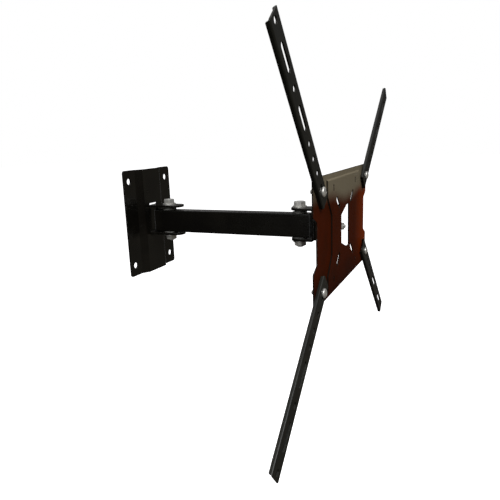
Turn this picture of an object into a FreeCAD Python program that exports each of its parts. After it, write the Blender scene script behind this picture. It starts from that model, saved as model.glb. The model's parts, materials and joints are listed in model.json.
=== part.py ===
import FreeCAD, Part
import math
import os

import Sketcher

# Full motion wall mount for a flat screen, in millimetres.
#
# Frame: origin at the centre of the wall plate's back face, +Z up, +X to the right of
# someone who faces the wall, and the mount reaches out towards -Y.
#
# Every driving size is a cell of the sheet "Sizes". Sketches, pads, pockets, fillets
# and placements are bound to those cells, so a changed cell carries through.

DOC = FreeCAD.newDocument("wall_mount")
SHEET = DOC.addObject("Spreadsheet::Sheet", "Sizes")
NODES = []

SIZES = {
    # wall plate: a stamped hat section
    "wall_plate_width": 142.0,
    "wall_plate_height": 190.0,
    "wall_sheet": 3.0,
    "wall_corner_radius": 5.0,
    "band_width": 54.0,
    "band_rise": 8.0,
    "band_slope_run": 11.5,
    "wall_hole_inset_x": 14.5,
    "wall_hole_inset_z": 19.5,
    "wall_hole_radius": 5.5,
    "relief_slit_width": 24.0,
    "relief_slit_height": 2.6,
    # inner radius of every fold in sheet of 3 mm or more
    "fold_radius": 1.5,
    # clevis brackets at both ends of the arm
    "clevis_sheet": 4.0,
    "clevis_width": 30.0,
    "ear_tip_half": 1.0,
    "weld_wing": 8.0,
    "wall_pin_reach": 46.4,
    "wall_ear_overhang": 27.8,
    "head_ear_overhang": 13.8,
    "head_web_clearance": 1.66,
    # arm: a rectangular tube with a sleeve across each end
    "tube_height": 40.0,
    "tube_width": 20.0,
    "tube_wall": 2.0,
    "tube_corner_radius": 2.5,
    "tube_tail": 28.4,
    "tube_nose": 20.2,
    "pin_pitch": 251.4,
    "cap_lip": 1.5,
    "cap_plug_depth": 8.0,
    "cap_wall": 1.6,
    "sleeve_wall": 1.7,
    # pivot hardware at both ends of the arm
    "upper_gap": 5.0,
    "lower_gap": 1.5,
    "bush_flange_wall": 5.95,
    "bush_flange": 2.0,
    "bush_collar_wall": 2.45,
    "pin_radius": 6.0,
    "pin_head_flats": 18.0,
    "pin_head_height": 7.5,
    "pin_nut_height": 7.0,
    "pin_washer_margin": 6.0,
    "pin_washer_sheet": 2.5,
    "pin_tail": 1.6,
    # tilt joint
    "tilt_clearance": 6.0,
    "yoke_sheet": 3.0,
    "yoke_width": 37.0,
    "yoke_height": 44.0,
    "yoke_nose_radius": 12.0,
    "tongue_sheet": 3.0,
    "tongue_height": 28.0,
    "tongue_nose_radius": 11.0,
    "tongue_reach": 16.2,
    "friction_washer_sheet": 1.0,
    "friction_washer_radius": 10.0,
    "tilt_bolt_radius": 4.0,
    "tilt_bolt_flats": 13.0,
    "tilt_head_height": 5.3,
    "tilt_nut_height": 6.5,
    "tilt_washer_radius": 8.0,
    "tilt_washer_sheet": 1.6,
    "tilt_tail": 2.5,
    # levelling bolt and the strap that it holds
    "level_bolt_radius": 3.0,
    "level_bolt_flats": 10.0,
    "level_head_height": 4.0,
    "level_nut_height": 5.0,
    "level_washer_radius": 6.0,
    "level_washer_sheet": 1.0,
    "level_tail": 2.0,
    "strap_sheet": 3.0,
    "strap_width": 16.0,
    "strap_foot": 14.0,
    "strap_joggle_run": 4.0,
    "strap_margin": 4.0,
    "strap_offset": 6.1,
    # screen plate
    "plate_width": 328.0,
    "plate_height": 178.4,
    "plate_sheet": 2.0,
    "plate_corner_radius": 5.0,
    "notch_depth": 17.0,
    "notch_height": 59.0,
    "notch_slope_rise": 8.5,
    "emboss_rise": 2.0,
    "emboss_margin": 7.0,
    "emboss_taper": 40.0,
    "waist_inset": 84.5,
    "waist_height": 58.0,
    "shoulder_inset": 62.0,
    "shoulder_height": 114.0,
    "window_width": 48.0,
    "window_height": 68.0,
    "window_cut_x": 34.0,
    "window_cut_z": 12.0,
    "vesa_small": 75.0,
    "vesa_large": 100.0,
    "vesa_slot_radius": 3.5,
    "tie_slot_span_x": 138.0,
    "tie_slot_inset_z": 21.2,
    "tie_slot_length": 9.0,
    "tie_slot_width": 3.5,
    # extension arms
    "arm_inset_x": 25.5,
    "arm_inset_z": 19.7,
    "arm_width": 27.8,
    "arm_sheet": 2.0,
    "arm_depth": 5.6,
    "arm_reach": 249.5,
    "arm_heel": 20.4,
    "arm_corner_radius": 3.0,
    "arm_fold_radius": 0.6,
    "arm_hole_radius": 4.25,
    "arm_slot_length": 36.0,
    "arm_bolt_slot": 12.0,
    "arm_hole_first": 34.8,
    "arm_hole_pitch": 24.6,
    "arm_slot_near": 122.2,
    "arm_hole_far": 162.6,
    "arm_slot_far": 200.6,
    "arm_hole_tip": 241.5,
    "arm_angle_upper_left": 41.0,
    "arm_angle_upper_right": 52.0,
    "arm_angle_lower_left": 51.0,
    "arm_angle_lower_right": 47.5,
    # bolts that hold the extension arms
    "arm_bolt_radius": 3.0,
    "arm_bolt_head_radius": 7.0,
    "arm_bolt_head_height": 4.0,
    "arm_nut_flats": 10.0,
    "arm_nut_height": 5.0,
    "arm_washer_radius": 8.0,
    "arm_washer_sheet": 1.6,
    "arm_bolt_tail": 2.5,
    "arm_spacer_radius": 8.0,
    # fits
    "pin_fit": 0.05,
    "slide_gap": 0.1,
    "lip_gap": 0.3,
    "hole_clearance": 0.25,
    "plug_fit": 0.15,
}

# Places worked out from the sizes above; each is a cell with a formula of its own.
DERIVED = {
    "wall_hole_x": "wall_plate_width / 2 - wall_hole_inset_x",
    "wall_hole_z": "wall_plate_height / 2 - wall_hole_inset_z",
    "band_front": "wall_sheet + band_rise",
    "upper_ear_under": "tube_height / 2 + upper_gap",
    "lower_ear_over": "tube_height / 2 + lower_gap",
    "sleeve_radius": "pin_radius + pin_fit + sleeve_wall",
    "bush_flange_radius": "pin_radius + pin_fit + bush_flange_wall",
    "bush_collar_radius": "pin_radius + pin_fit + bush_collar_wall",
    "pin_washer_radius": "pin_radius + pin_washer_margin",
    "head_pin_y": "wall_pin_reach + pin_pitch",
    "head_web_reach": "sqrt(tube_nose ^ 2 + tube_width ^ 2 / 4) + head_web_clearance",
    "web_front_y": "head_pin_y + head_web_reach + clevis_sheet",
    "tilt_y": "web_front_y + yoke_sheet + tongue_nose_radius + tilt_clearance",
    "tongue_front_y": "tilt_y + tongue_reach",
    "strap_back_y": "tongue_front_y + slide_gap",
    "plate_front_y": "strap_back_y + strap_sheet + strap_offset + plate_sheet - emboss_rise",
    "ear_corner_radius": "clevis_width / 2 - ear_tip_half",
    "waist_x": "plate_width / 2 - waist_inset",
    "shoulder_x": "plate_width / 2 - shoulder_inset",
    "arm_pivot_x": "plate_width / 2 - arm_inset_x",
    "arm_pivot_z": "plate_height / 2 - arm_inset_z",
    "tongue_width": "yoke_width - 2 * yoke_sheet - 2 * friction_washer_sheet - 4 * slide_gap",
    "arm_face": "arm_depth + lip_gap",
}

KNOWN = set(SIZES) | set(DERIVED)


def fill_sheet():
    """Write every size, then every derived place, into the sheet with an alias."""
    row = 1
    for alias, size in SIZES.items():
        SHEET.set(f"A{row}", alias)
        SHEET.set(f"B{row}", str(size))
        SHEET.setAlias(f"B{row}", alias)
        row += 1
    DOC.recompute()
    for alias, formula in DERIVED.items():
        SHEET.set(f"A{row}", alias)
        SHEET.set(f"B{row}", "=" + formula)
        SHEET.setAlias(f"B{row}", alias)
        DOC.recompute()
        row += 1


def bound(expression):
    """Turn a formula of sheet aliases into one that any object can use."""
    words = []
    word = ""
    for letter in expression + " ":
        if letter.isalnum() or letter == "_" or (letter == "." and word):
            word += letter
            continue
        if word and word in KNOWN:
            word = "Sizes." + word
        words.append(word + letter)
        word = ""
    return "".join(words).strip()


def value(expression):
    """The number that a formula of sheet aliases gives now."""
    return float(SHEET.evalExpression(bound(expression)))


def bind(item, prop, expression):
    """Bind one property of an object to a formula of sheet aliases."""
    item.setExpression(prop, bound(expression))


def body(label):
    """Start a body; its label names the node that it becomes."""
    made = DOC.addObject("PartDesign::Body", label)
    made.Label = label
    return made


def sketch(owner, role, offset=None):
    """Add a sketch on one of the body's own origin planes, moved along the normal."""
    made = owner.newObject("Sketcher::SketchObject", owner.Name + "_sketch")
    plane = [item for item in owner.Origin.OriginFeatures if item.Role == role][0]
    made.AttachmentSupport = [(plane, "")]
    made.MapMode = "FlatFace"
    if offset is not None:
        bind(made, "AttachmentOffset.Base.z", offset)
    return made


def hold(drawing, kind, geometry, vertex, expression):
    """Fix one coordinate of a point to a formula."""
    index = drawing.addConstraint(Sketcher.Constraint(kind, geometry, vertex, value(expression)))
    bind(drawing, f"Constraints[{index}]", expression)


def polygon(drawing, points):
    """Draw a closed outline through points that are pairs of formulas."""
    places = [FreeCAD.Vector(value(x), value(y), 0) for x, y in points]
    first = drawing.GeometryCount
    count = len(places)
    for index in range(count):
        drawing.addGeometry(Part.LineSegment(places[index], places[(index + 1) % count]))
    for index in range(count):
        following = first + (index + 1) % count
        drawing.addConstraint(Sketcher.Constraint("Coincident", first + index, 2, following, 1))
    for index, (x, y) in enumerate(points):
        hold(drawing, "DistanceX", first + index, 1, x)
        hold(drawing, "DistanceY", first + index, 1, y)


def box_outline(drawing, low_x, low_y, high_x, high_y):
    """Draw a rectangle from two opposite corners."""
    polygon(drawing, [(low_x, low_y), (high_x, low_y), (high_x, high_y), (low_x, high_y)])


def circle(drawing, x, y, radius):
    """Draw a circle whose centre and radius are formulas."""
    centre = FreeCAD.Vector(value(x), value(y), 0)
    index = drawing.addGeometry(Part.Circle(centre, FreeCAD.Vector(0, 0, 1), value(radius)))
    hold(drawing, "DistanceX", index, 3, x)
    hold(drawing, "DistanceY", index, 3, y)
    size = drawing.addConstraint(Sketcher.Constraint("Radius", index, value(radius)))
    bind(drawing, f"Constraints[{size}]", radius)


def slot(drawing, start, finish, radius):
    """Draw a round-ended slot between two centres that are pairs of formulas."""
    a = FreeCAD.Vector(value(start[0]), value(start[1]), 0)
    b = FreeCAD.Vector(value(finish[0]), value(finish[1]), 0)
    size = value(radius)
    heading = math.atan2(b.y - a.y, b.x - a.x)
    side = FreeCAD.Vector(-math.sin(heading), math.cos(heading), 0) * size
    normal = FreeCAD.Vector(0, 0, 1)
    quarter = math.pi / 2
    near = Part.ArcOfCircle(Part.Circle(a, normal, size), heading + quarter, heading + 3 * quarter)
    far = Part.ArcOfCircle(Part.Circle(b, normal, size), heading - quarter, heading + quarter)
    first = drawing.addGeometry(near)
    drawing.addGeometry(Part.LineSegment(a - side, b - side))
    drawing.addGeometry(far)
    drawing.addGeometry(Part.LineSegment(b + side, a + side))
    for index in range(4):
        following = first + (index + 1) % 4
        drawing.addConstraint(Sketcher.Constraint("Tangent", first + index, 2, following, 1))
    for index, place in ((first, start), (first + 2, finish)):
        hold(drawing, "DistanceX", index, 3, place[0])
        hold(drawing, "DistanceY", index, 3, place[1])
    drawing.addConstraint(Sketcher.Constraint("Equal", first, first + 2))
    held = drawing.addConstraint(Sketcher.Constraint("Radius", first, size))
    bind(drawing, f"Constraints[{held}]", radius)


def rounded_box(drawing, low_x, low_y, high_x, high_y, radius):
    """Draw a rectangle with four equal round corners, from two opposite corners."""
    size = value(radius)
    normal = FreeCAD.Vector(0, 0, 1)
    quarter = math.pi / 2
    corners = [
        (f"{low_x} + {radius}", f"{low_y} + {radius}", 2),
        (f"{high_x} - {radius}", f"{low_y} + {radius}", 3),
        (f"{high_x} - {radius}", f"{high_y} - {radius}", 4),
        (f"{low_x} + {radius}", f"{high_y} - {radius}", 5),
    ]
    first = drawing.GeometryCount
    arcs = []
    for x, y, step in corners:
        centre = FreeCAD.Vector(value(x), value(y), 0)
        circle_line = Part.Circle(centre, normal, size)
        arcs.append(Part.ArcOfCircle(circle_line, step * quarter, (step + 1) * quarter))
    for index, arc in enumerate(arcs):
        drawing.addGeometry(arc)
        drawing.addGeometry(Part.LineSegment(arc.EndPoint, arcs[(index + 1) % 4].StartPoint))
    for index in range(8):
        following = first + (index + 1) % 8
        drawing.addConstraint(Sketcher.Constraint("Tangent", first + index, 2, following, 1))
    for index, (x, y, step) in enumerate(corners):
        hold(drawing, "DistanceX", first + 2 * index, 3, x)
        hold(drawing, "DistanceY", first + 2 * index, 3, y)
    for index in (2, 4, 6):
        drawing.addConstraint(Sketcher.Constraint("Equal", first, first + index))
    held = drawing.addConstraint(Sketcher.Constraint("Radius", first, size))
    bind(drawing, f"Constraints[{held}]", radius)


def pad(owner, drawing, length, middle=False, taper=None, reverse=False):
    """Add material from a sketch, along its normal, against it or evenly about it."""
    made = owner.newObject("PartDesign::Pad", owner.Name + "_pad")
    made.Profile = drawing
    bind(made, "Length", length)
    made.Midplane = middle
    made.Reversed = reverse
    if taper is not None:
        bind(made, "TaperAngle", taper)
    DOC.recompute()
    return made


def through(owner, drawing):
    """Cut a sketch right through the body, both ways."""
    before = owner.Shape.Volume
    made = owner.newObject("PartDesign::Pocket", owner.Name + "_cut")
    made.Profile = drawing
    made.Type = 1
    made.Midplane = True
    DOC.recompute()
    if owner.Shape.Volume >= before:
        raise RuntimeError(owner.Label + ": a cut removed nothing")
    return made


def cut(owner, drawing, depth, taper=None, reverse=False):
    """Cut a sketch to a depth, against its normal or along it."""
    before = owner.Shape.Volume
    made = owner.newObject("PartDesign::Pocket", owner.Name + "_cut")
    made.Profile = drawing
    bind(made, "Length", depth)
    made.Reversed = reverse
    if taper is not None:
        bind(made, "TaperAngle", taper)
    DOC.recompute()
    if owner.Shape.Volume >= before:
        raise RuntimeError(owner.Label + ": a cut removed nothing")
    return made


def along(edge, axis):
    """Whether a straight edge runs along one axis."""
    if not isinstance(edge.Curve, Part.Line):
        return False
    return abs(abs(edge.tangentAt(edge.FirstParameter).dot(axis)) - 1) < 1e-6


def at(axis, spots):
    """A test for straight edges along an axis whose middles are at given spots.

    A spot is three formulas, and None in it stands for any place along that axis. Signs
    are left out of the test, so one spot picks an edge and its mirror images.
    """
    wanted = [[None if part is None else abs(value(part)) for part in spot] for spot in spots]

    def chosen(edge):
        middle = edge.CenterOfMass
        found = (abs(middle.x), abs(middle.y), abs(middle.z))
        for spot in wanted:
            apart = [abs(a - b) for a, b in zip(found, spot) if b is not None]
            if along(edge, axis) and max(apart) < 0.01:
                return True
        return False

    return chosen


def round_edges(owner, radius, chosen):
    """Fillet the edges of the body that a test picks."""
    tip = owner.Tip
    names = [f"Edge{number}" for number, edge in enumerate(tip.Shape.Edges, 1) if chosen(edge)]
    if not names:
        raise RuntimeError(owner.Label + ": no edge to round")
    made = owner.newObject("PartDesign::Fillet", owner.Name + "_round")
    made.Base = (tip, names)
    bind(made, "Radius", radius)
    DOC.recompute()
    return made


def place(item, x="0", y="0", z="0", axis=None, angle="0"):
    """Bind an object's place, and its turn about an axis, to formulas."""
    if axis is not None:
        item.Placement = FreeCAD.Placement(FreeCAD.Vector(), FreeCAD.Rotation(axis, 90))
        bind(item, "Placement.Rotation.Angle", angle)
    for name, expression in (("x", x), ("y", y), ("z", z)):
        bind(item, "Placement.Base." + name, expression)


X_AXIS = FreeCAD.Vector(1, 0, 0)
Y_AXIS = FreeCAD.Vector(0, 1, 0)
Z_AXIS = FreeCAD.Vector(0, 0, 1)


def node(item):
    """Mark an object as a finished sub-part."""
    NODES.append(item)
    return item


def revolve(owner, points):
    """Turn a closed profile of (radius, height) formulas about the body's Z axis."""
    drawing = sketch(owner, "XZ_Plane")
    polygon(drawing, points)
    made = owner.newObject("PartDesign::Revolution", owner.Name + "_turn")
    made.Profile = drawing
    made.ReferenceAxis = (drawing, ["V_Axis"])
    made.Angle = 360
    DOC.recompute()
    return made


def ring(label, inner, outer, low, high):
    """A flat ring about Z between two heights."""
    made = body(label)
    revolve(made, [(inner, low), (outer, low), (outer, high), (inner, high)])
    return made


def trim_to_hexagon(owner, flats, low, high):
    """Cut a round head down to six flats between two heights."""
    drawing = sketch(owner, "XY_Plane", high)
    corner = f"({flats}) / 2 / cos(30)"
    turns = [30 + 60 * step for step in range(6)]
    polygon(drawing, [(f"{corner} * cos({turn})", f"{corner} * sin({turn})") for turn in turns])
    circle(drawing, "0", "0", f"{corner} * 2")
    cut(owner, drawing, f"({high}) - ({low})")


def hex_bolt(label, radius, flats, head, length):
    """A hex bolt about Z: its head stands on z = 0 and its shank hangs down."""
    made = body(label)
    corner = f"({flats}) / 2 / cos(30)"
    bevel = f"({corner} - ({flats}) / 2 * 0.95) * 0.58"
    tip = f"({radius}) * 0.2"
    points = [
        ("0", f"-({length})"),
        (f"({radius}) - {tip}", f"-({length})"),
        (f"{radius}", f"{tip} - ({length})"),
        (f"{radius}", "0"),
        (corner, "0"),
        (corner, f"({head}) - {bevel}"),
        (f"({flats}) / 2 * 0.95", f"{head}"),
        ("0", f"{head}"),
    ]
    revolve(made, points)
    trim_to_hexagon(made, flats, "0", head)
    return made


def hex_nut(label, radius, flats, height):
    """A hex nut about Z that hangs from z = 0, bevelled at both ends."""
    made = body(label)
    corner = f"({flats}) / 2 / cos(30)"
    bevel = f"({corner} - ({flats}) / 2 * 0.95) * 0.58"
    points = [
        (f"{radius}", f"-({height})"),
        (f"({flats}) / 2 * 0.95", f"-({height})"),
        (corner, f"{bevel} - ({height})"),
        (corner, f"-{bevel}"),
        (f"({flats}) / 2 * 0.95", "0"),
        (f"{radius}", "0"),
    ]
    revolve(made, points)
    trim_to_hexagon(made, flats, f"-({height})", "0")
    return made


def group(label, blank, placements):
    """Copies of one finished piece, as separate solids that share a node."""
    made = DOC.addObject("Part::Feature", label)
    made.Label = label
    copies = []
    for placement in placements:
        copy = blank.Shape.copy()
        copy.Placement = placement.multiply(blank.Shape.Placement)
        copies.append(copy)
    made.Shape = Part.makeCompound(copies)
    made.Placement = FreeCAD.Placement()
    return node(made)


def wall_plate():
    """Hat-section plate: two flat flanges and a raised centre band."""
    made = node(body("wall_plate"))
    half = "wall_plate_width / 2"
    crest = "band_width / 2"
    foot = "(band_width / 2 + band_slope_run)"
    drawing = sketch(made, "XY_Plane")
    inset = "wall_sheet * tan(atan(band_rise / band_slope_run) / 2)"
    front = [
        (f"-{half}", "-wall_sheet"),
        (f"-{foot}", "-wall_sheet"),
        (f"-{crest}", "-band_front"),
        (crest, "-band_front"),
        (foot, "-wall_sheet"),
        (half, "-wall_sheet"),
    ]
    back = [
        (half, "0"),
        (f"{foot} - {inset}", "0"),
        (f"{crest} - {inset}", "-band_rise"),
        (f"{inset} - {crest}", "-band_rise"),
        (f"{inset} - {foot}", "0"),
        (f"-{half}", "0"),
    ]
    polygon(drawing, front + back)
    pad(made, drawing, "wall_plate_height", middle=True)
    outer_folds = at(Z_AXIS, [(crest, "band_front", None), (f"{foot} - {inset}", "0", None)])
    round_edges(made, "fold_radius + wall_sheet", outer_folds)
    inner_folds = at(Z_AXIS, [(foot, "wall_sheet", None), (f"{crest} - {inset}", "band_rise", None)])
    round_edges(made, "fold_radius", inner_folds)

    holes = sketch(made, "XZ_Plane")
    for x in ("-wall_hole_x", "wall_hole_x"):
        for z in ("-wall_hole_z", "wall_hole_z"):
            circle(holes, x, z, "wall_hole_radius")
    through(made, holes)

    window = sketch(made, "XZ_Plane")
    side = "(clevis_width / 2 + lip_gap)"
    top = "upper_ear_under + clevis_sheet + lip_gap"
    bottom = "-(lower_ear_over + clevis_sheet + lip_gap)"
    slit = "relief_slit_width / 2"
    polygon(window, [
        (f"-{side}", bottom),
        (side, bottom),
        (side, top),
        (slit, top),
        (slit, f"{top} + relief_slit_height"),
        (f"-{slit}", f"{top} + relief_slit_height"),
        (f"-{slit}", top),
        (f"-{side}", top),
    ])
    through(made, window)

    round_edges(made, "wall_corner_radius", at(Y_AXIS, [(half, None, "wall_plate_height / 2")]))
    place(made)


def clevis(label, web_inner, web_outer, ear_end, wing, outward):
    """A folded bracket: a web and two ears with a pin hole, about the pin axis.

    web_inner, web_outer and ear_end are distances from the pin axis. outward is the
    sign of the side of the pin that the web is on, along Y.
    """
    made = node(body(label))
    top = "upper_ear_under + clevis_sheet"
    bottom = "-(lower_ear_over + clevis_sheet)"
    profile = sketch(made, "YZ_Plane")
    points = [
        (f"{outward} * ({web_outer})", bottom),
        (f"{-outward} * ({ear_end})", bottom),
        (f"{-outward} * ({ear_end})", "-lower_ear_over"),
        (f"{outward} * ({web_inner})", "-lower_ear_over"),
        (f"{outward} * ({web_inner})", "upper_ear_under"),
        (f"{-outward} * ({ear_end})", "upper_ear_under"),
        (f"{-outward} * ({ear_end})", top),
        (f"{outward} * ({web_outer})", top),
    ]
    polygon(profile, points)
    pad(made, profile, "clevis_width", middle=True)
    round_edges(made, "fold_radius", at(X_AXIS, [(None, web_inner, None)]))
    if wing:
        wings = sketch(made, "XZ_Plane", f"{-outward} * ({web_inner})")
        side = "(clevis_width / 2 + weld_wing)"
        box_outline(wings, f"-{side}", bottom, side, top)
        pad(made, wings, "clevis_sheet", reverse=outward > 0)
    else:
        round_edges(made, "fold_radius + clevis_sheet", at(X_AXIS, [(None, web_outer, None)]))
    round_edges(made, "ear_corner_radius", at(Z_AXIS, [(None, ear_end, None)]))
    hole = sketch(made, "XY_Plane")
    circle(hole, "0", "0", "pin_radius + hole_clearance")
    through(made, hole)
    return made


def rounded_bar(owner, drawing, length, width, height, radius):
    """Pad a rectangle along its normal and round its long edges."""
    box_outline(drawing, f"-({width}) / 2", f"-({height}) / 2", f"({width}) / 2", f"({height}) / 2")
    pad(owner, drawing, length)
    round_edges(owner, radius, lambda edge: along(edge, Y_AXIS))


def arm_tube():
    """Rectangular tube along -Y, its own frame at the wall pin."""
    made = node(body("arm_tube"))
    length = "tube_tail + pin_pitch + tube_nose - 2 * cap_lip"
    outer = sketch(made, "XZ_Plane", "cap_lip - tube_tail")
    rounded_bar(made, outer, length, "tube_width", "tube_height", "tube_corner_radius")
    bore = sketch(made, "XZ_Plane")
    inner_x = "(tube_width / 2 - tube_wall)"
    inner_z = "(tube_height / 2 - tube_wall)"
    box_outline(bore, f"-{inner_x}", f"-{inner_z}", inner_x, inner_z)
    through(made, bore)
    holes = sketch(made, "XY_Plane")
    for y in ("0", "-pin_pitch"):
        circle(holes, "0", y, "sleeve_radius")
    through(made, holes)
    place(made, y="-wall_pin_reach")


def end_cap(label, toward_wall):
    """Plastic cap: a lip as large as the tube and a hollow plug inside it.

    Its own frame stands on the tube's cut end, with the plug along -Y.
    """
    made = node(body(label))
    lip = sketch(made, "XZ_Plane", "-cap_lip")
    rounded_bar(made, lip, "cap_lip", "tube_width", "tube_height", "tube_corner_radius")
    plug = sketch(made, "XZ_Plane")
    plug_x = "(tube_width / 2 - tube_wall - plug_fit)"
    plug_z = "(tube_height / 2 - tube_wall - plug_fit)"
    box_outline(plug, f"-{plug_x}", f"-{plug_z}", plug_x, plug_z)
    hollow_x = f"({plug_x} - cap_wall)"
    hollow_z = f"({plug_z} - cap_wall)"
    box_outline(plug, f"-{hollow_x}", f"-{hollow_z}", hollow_x, hollow_z)
    pad(made, plug, "cap_plug_depth")
    if toward_wall:
        place(made, y="-(wall_pin_reach - tube_tail + cap_lip)")
    else:
        place(made, y="-(head_pin_y + tube_nose - cap_lip)", axis=Z_AXIS, angle="180")


def pivot(prefix, pin_y, washer_label):
    """Bolt, nut and washers on the ears, and sleeve and bushes on the tube."""
    top = "upper_ear_under + clevis_sheet + pin_washer_sheet"
    under = "lower_ear_over + clevis_sheet + pin_washer_sheet"
    length = f"{top} + {under} + pin_nut_height + pin_tail"
    bolt = hex_bolt(prefix + "_pivot_bolt", "pin_radius", "pin_head_flats", "pin_head_height", length)
    node(bolt)
    place(bolt, y=f"-({pin_y})", z=top)
    nut = node(hex_nut(prefix + "_pivot_nut", "pin_radius", "pin_head_flats", "pin_nut_height"))
    place(nut, y=f"-({pin_y})", z=f"-({under})")

    bore = "pin_radius + hole_clearance"
    blank = ring(washer_label + "_blank", bore, "pin_washer_radius", "0", "pin_washer_sheet")
    heights = (value("upper_ear_under + clevis_sheet"), -value(under))
    spots = [FreeCAD.Placement(FreeCAD.Vector(0, -value(pin_y), z), FreeCAD.Rotation()) for z in heights]
    group(washer_label, blank, spots)

    half = "tube_height / 2"
    bore = "pin_radius + pin_fit"
    sleeve = node(ring(prefix + "_sleeve", bore, "sleeve_radius", f"-{half}", half))
    place(sleeve, y=f"-({pin_y})")

    bush = node(body(prefix + "_upper_bush"))
    revolve(bush, [
        (bore, half),
        ("bush_flange_radius", half),
        ("bush_flange_radius", f"{half} + bush_flange"),
        ("bush_collar_radius", f"{half} + bush_flange"),
        ("bush_collar_radius", "upper_ear_under - slide_gap"),
        (bore, "upper_ear_under - slide_gap"),
    ])
    place(bush, y=f"-({pin_y})")
    low = "slide_gap - lower_ear_over"
    lower = node(ring(prefix + "_lower_bush", bore, "bush_flange_radius", low, f"-{half}"))
    place(lower, y=f"-({pin_y})")


def side_profile(owner, reach, height, nose, width):
    """Pad a plate outline across X: square at the back, round about the axis.

    The round nose is centred on the body's origin; reach is the distance from it to
    the square back, along +Y or -Y by its sign.
    """
    drawing = sketch(owner, "YZ_Plane")
    square = f"({height}) / 2"
    polygon(drawing, [
        (reach, f"-{square}"),
        (reach, square),
        ("0", nose),
        ("0", f"-({nose})"),
    ])
    pad(owner, drawing, width, middle=True)
    disc = sketch(owner, "YZ_Plane")
    circle(disc, "0", "0", nose)
    pad(owner, disc, width, middle=True)


def tilt_yoke():
    """Outer bracket of the tilt joint, welded to the head clevis; frame on the tilt axis."""
    made = node(body("tilt_yoke"))
    back = "tilt_y - web_front_y"
    side_profile(made, back, "yoke_height", "yoke_nose_radius", "yoke_width")
    hollow = sketch(made, "XY_Plane")
    half = "(yoke_width / 2 - yoke_sheet)"
    box_outline(hollow, f"-{half}", "-2 * yoke_nose_radius", half, f"{back} - yoke_sheet")
    through(made, hollow)
    round_edges(made, "fold_radius + yoke_sheet", at(Z_AXIS, [("yoke_width / 2", back, None)]))
    round_edges(made, "fold_radius", at(Z_AXIS, [(half, f"{back} - yoke_sheet", None)]))
    hole = sketch(made, "YZ_Plane")
    circle(hole, "0", "0", "tilt_bolt_radius + hole_clearance")
    through(made, hole)
    place(made, y="-tilt_y")


def tilt_tongue():
    """Inner bracket of the tilt joint, which carries the levelling bolt."""
    made = node(body("tilt_tongue"))
    side_profile(made, "-tongue_reach", "tongue_height", "tongue_nose_radius", "tongue_width")
    hollow = sketch(made, "XY_Plane")
    half = "(tongue_width / 2 - tongue_sheet)"
    box_outline(hollow, f"-{half}", "tongue_sheet - tongue_reach", half, "2 * tongue_nose_radius")
    through(made, hollow)
    round_edges(made, "fold_radius + tongue_sheet", at(Z_AXIS, [("tongue_width / 2", "tongue_reach", None)]))
    round_edges(made, "fold_radius", at(Z_AXIS, [(half, "tongue_reach - tongue_sheet", None)]))
    hole = sketch(made, "YZ_Plane")
    circle(hole, "0", "0", "tilt_bolt_radius + pin_fit")
    through(made, hole)
    front = sketch(made, "XZ_Plane", "tongue_reach")
    circle(front, "0", "0", "level_bolt_radius + hole_clearance")
    cut(made, front, "tongue_sheet")
    place(made, y="-tilt_y")


def tilt_hardware():
    """Tilt bolt across X with its nut, outer washers and friction washers."""
    outside = "yoke_width / 2"
    seat = f"{outside} + tilt_washer_sheet"
    length = f"2 * ({seat}) + tilt_nut_height + tilt_tail"
    bolt = node(hex_bolt("tilt_bolt", "tilt_bolt_radius", "tilt_bolt_flats", "tilt_head_height", length))
    place(bolt, x=f"-({seat})", y="-tilt_y", axis=Y_AXIS, angle="-90")
    nut = node(hex_nut("tilt_nut", "tilt_bolt_radius", "tilt_bolt_flats", "tilt_nut_height"))
    place(nut, x=f"{seat}", y="-tilt_y", axis=Y_AXIS, angle="-90")

    bore = "tilt_bolt_radius + hole_clearance"
    blank = ring("tilt_washer_blank", bore, "tilt_washer_radius", "0", "tilt_washer_sheet")
    thin = ring("friction_washer_blank", bore, "friction_washer_radius", "0", "friction_washer_sheet")
    turn = FreeCAD.Rotation(Y_AXIS, 90)
    axis_y = -value("tilt_y")
    inner = value("tongue_width / 2 + slide_gap")
    for label, washer, places in (
        ("tilt_washers", blank, (value(outside), -value(seat))),
        ("tilt_friction_washers", thin, (inner, -inner - value("friction_washer_sheet"))),
    ):
        spots = [FreeCAD.Placement(FreeCAD.Vector(x, axis_y, 0), turn) for x in places]
        group(label, washer, spots)


def level_hardware():
    """Levelling bolt along Y: head inside the tongue, nut in front of the strap."""
    grip = "tongue_sheet + slide_gap + strap_sheet + slide_gap + level_washer_sheet"
    length = f"{grip} + level_nut_height + level_tail"
    bolt = node(hex_bolt("level_bolt", "level_bolt_radius", "level_bolt_flats", "level_head_height", length))
    place(bolt, y="tongue_sheet - tongue_front_y", axis=X_AXIS, angle="-90")
    front = f"{grip} - tongue_sheet"
    nut = node(hex_nut("level_nut", "level_bolt_radius", "level_bolt_flats", "level_nut_height"))
    place(nut, y=f"-(tongue_front_y + {front})", axis=X_AXIS, angle="-90")
    washer = node(ring("level_washer", "level_bolt_radius + hole_clearance", "level_washer_radius",
                       "0", "level_washer_sheet"))
    place(washer, y=f"-(tongue_front_y + {front})", axis=X_AXIS, angle="-90")


def level_strap():
    """Joggled strap behind the plate's window, welded above and below it."""
    made = node(body("level_strap"))
    profile = sketch(made, "YZ_Plane")
    half = "(window_height / 2 + strap_margin)"
    low = f"({half} - strap_joggle_run)"
    end = f"({half} + strap_foot)"
    foot = "(strap_offset + strap_sheet)"
    upper = [
        ("0", low),
        (f"-{foot} + strap_sheet", half),
        (f"-{foot} + strap_sheet", end),
        (f"-{foot}", end),
        (f"-{foot}", half),
        ("-strap_sheet", low),
    ]
    lower = [(y, f"-{z}") for y, z in reversed(upper)]
    polygon(profile, upper + lower)
    pad(made, profile, "strap_width", middle=True)
    hole = sketch(made, "XZ_Plane")
    circle(hole, "0", "0", "level_bolt_radius + pin_fit")
    through(made, hole)
    place(made, y="-strap_back_y")


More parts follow.
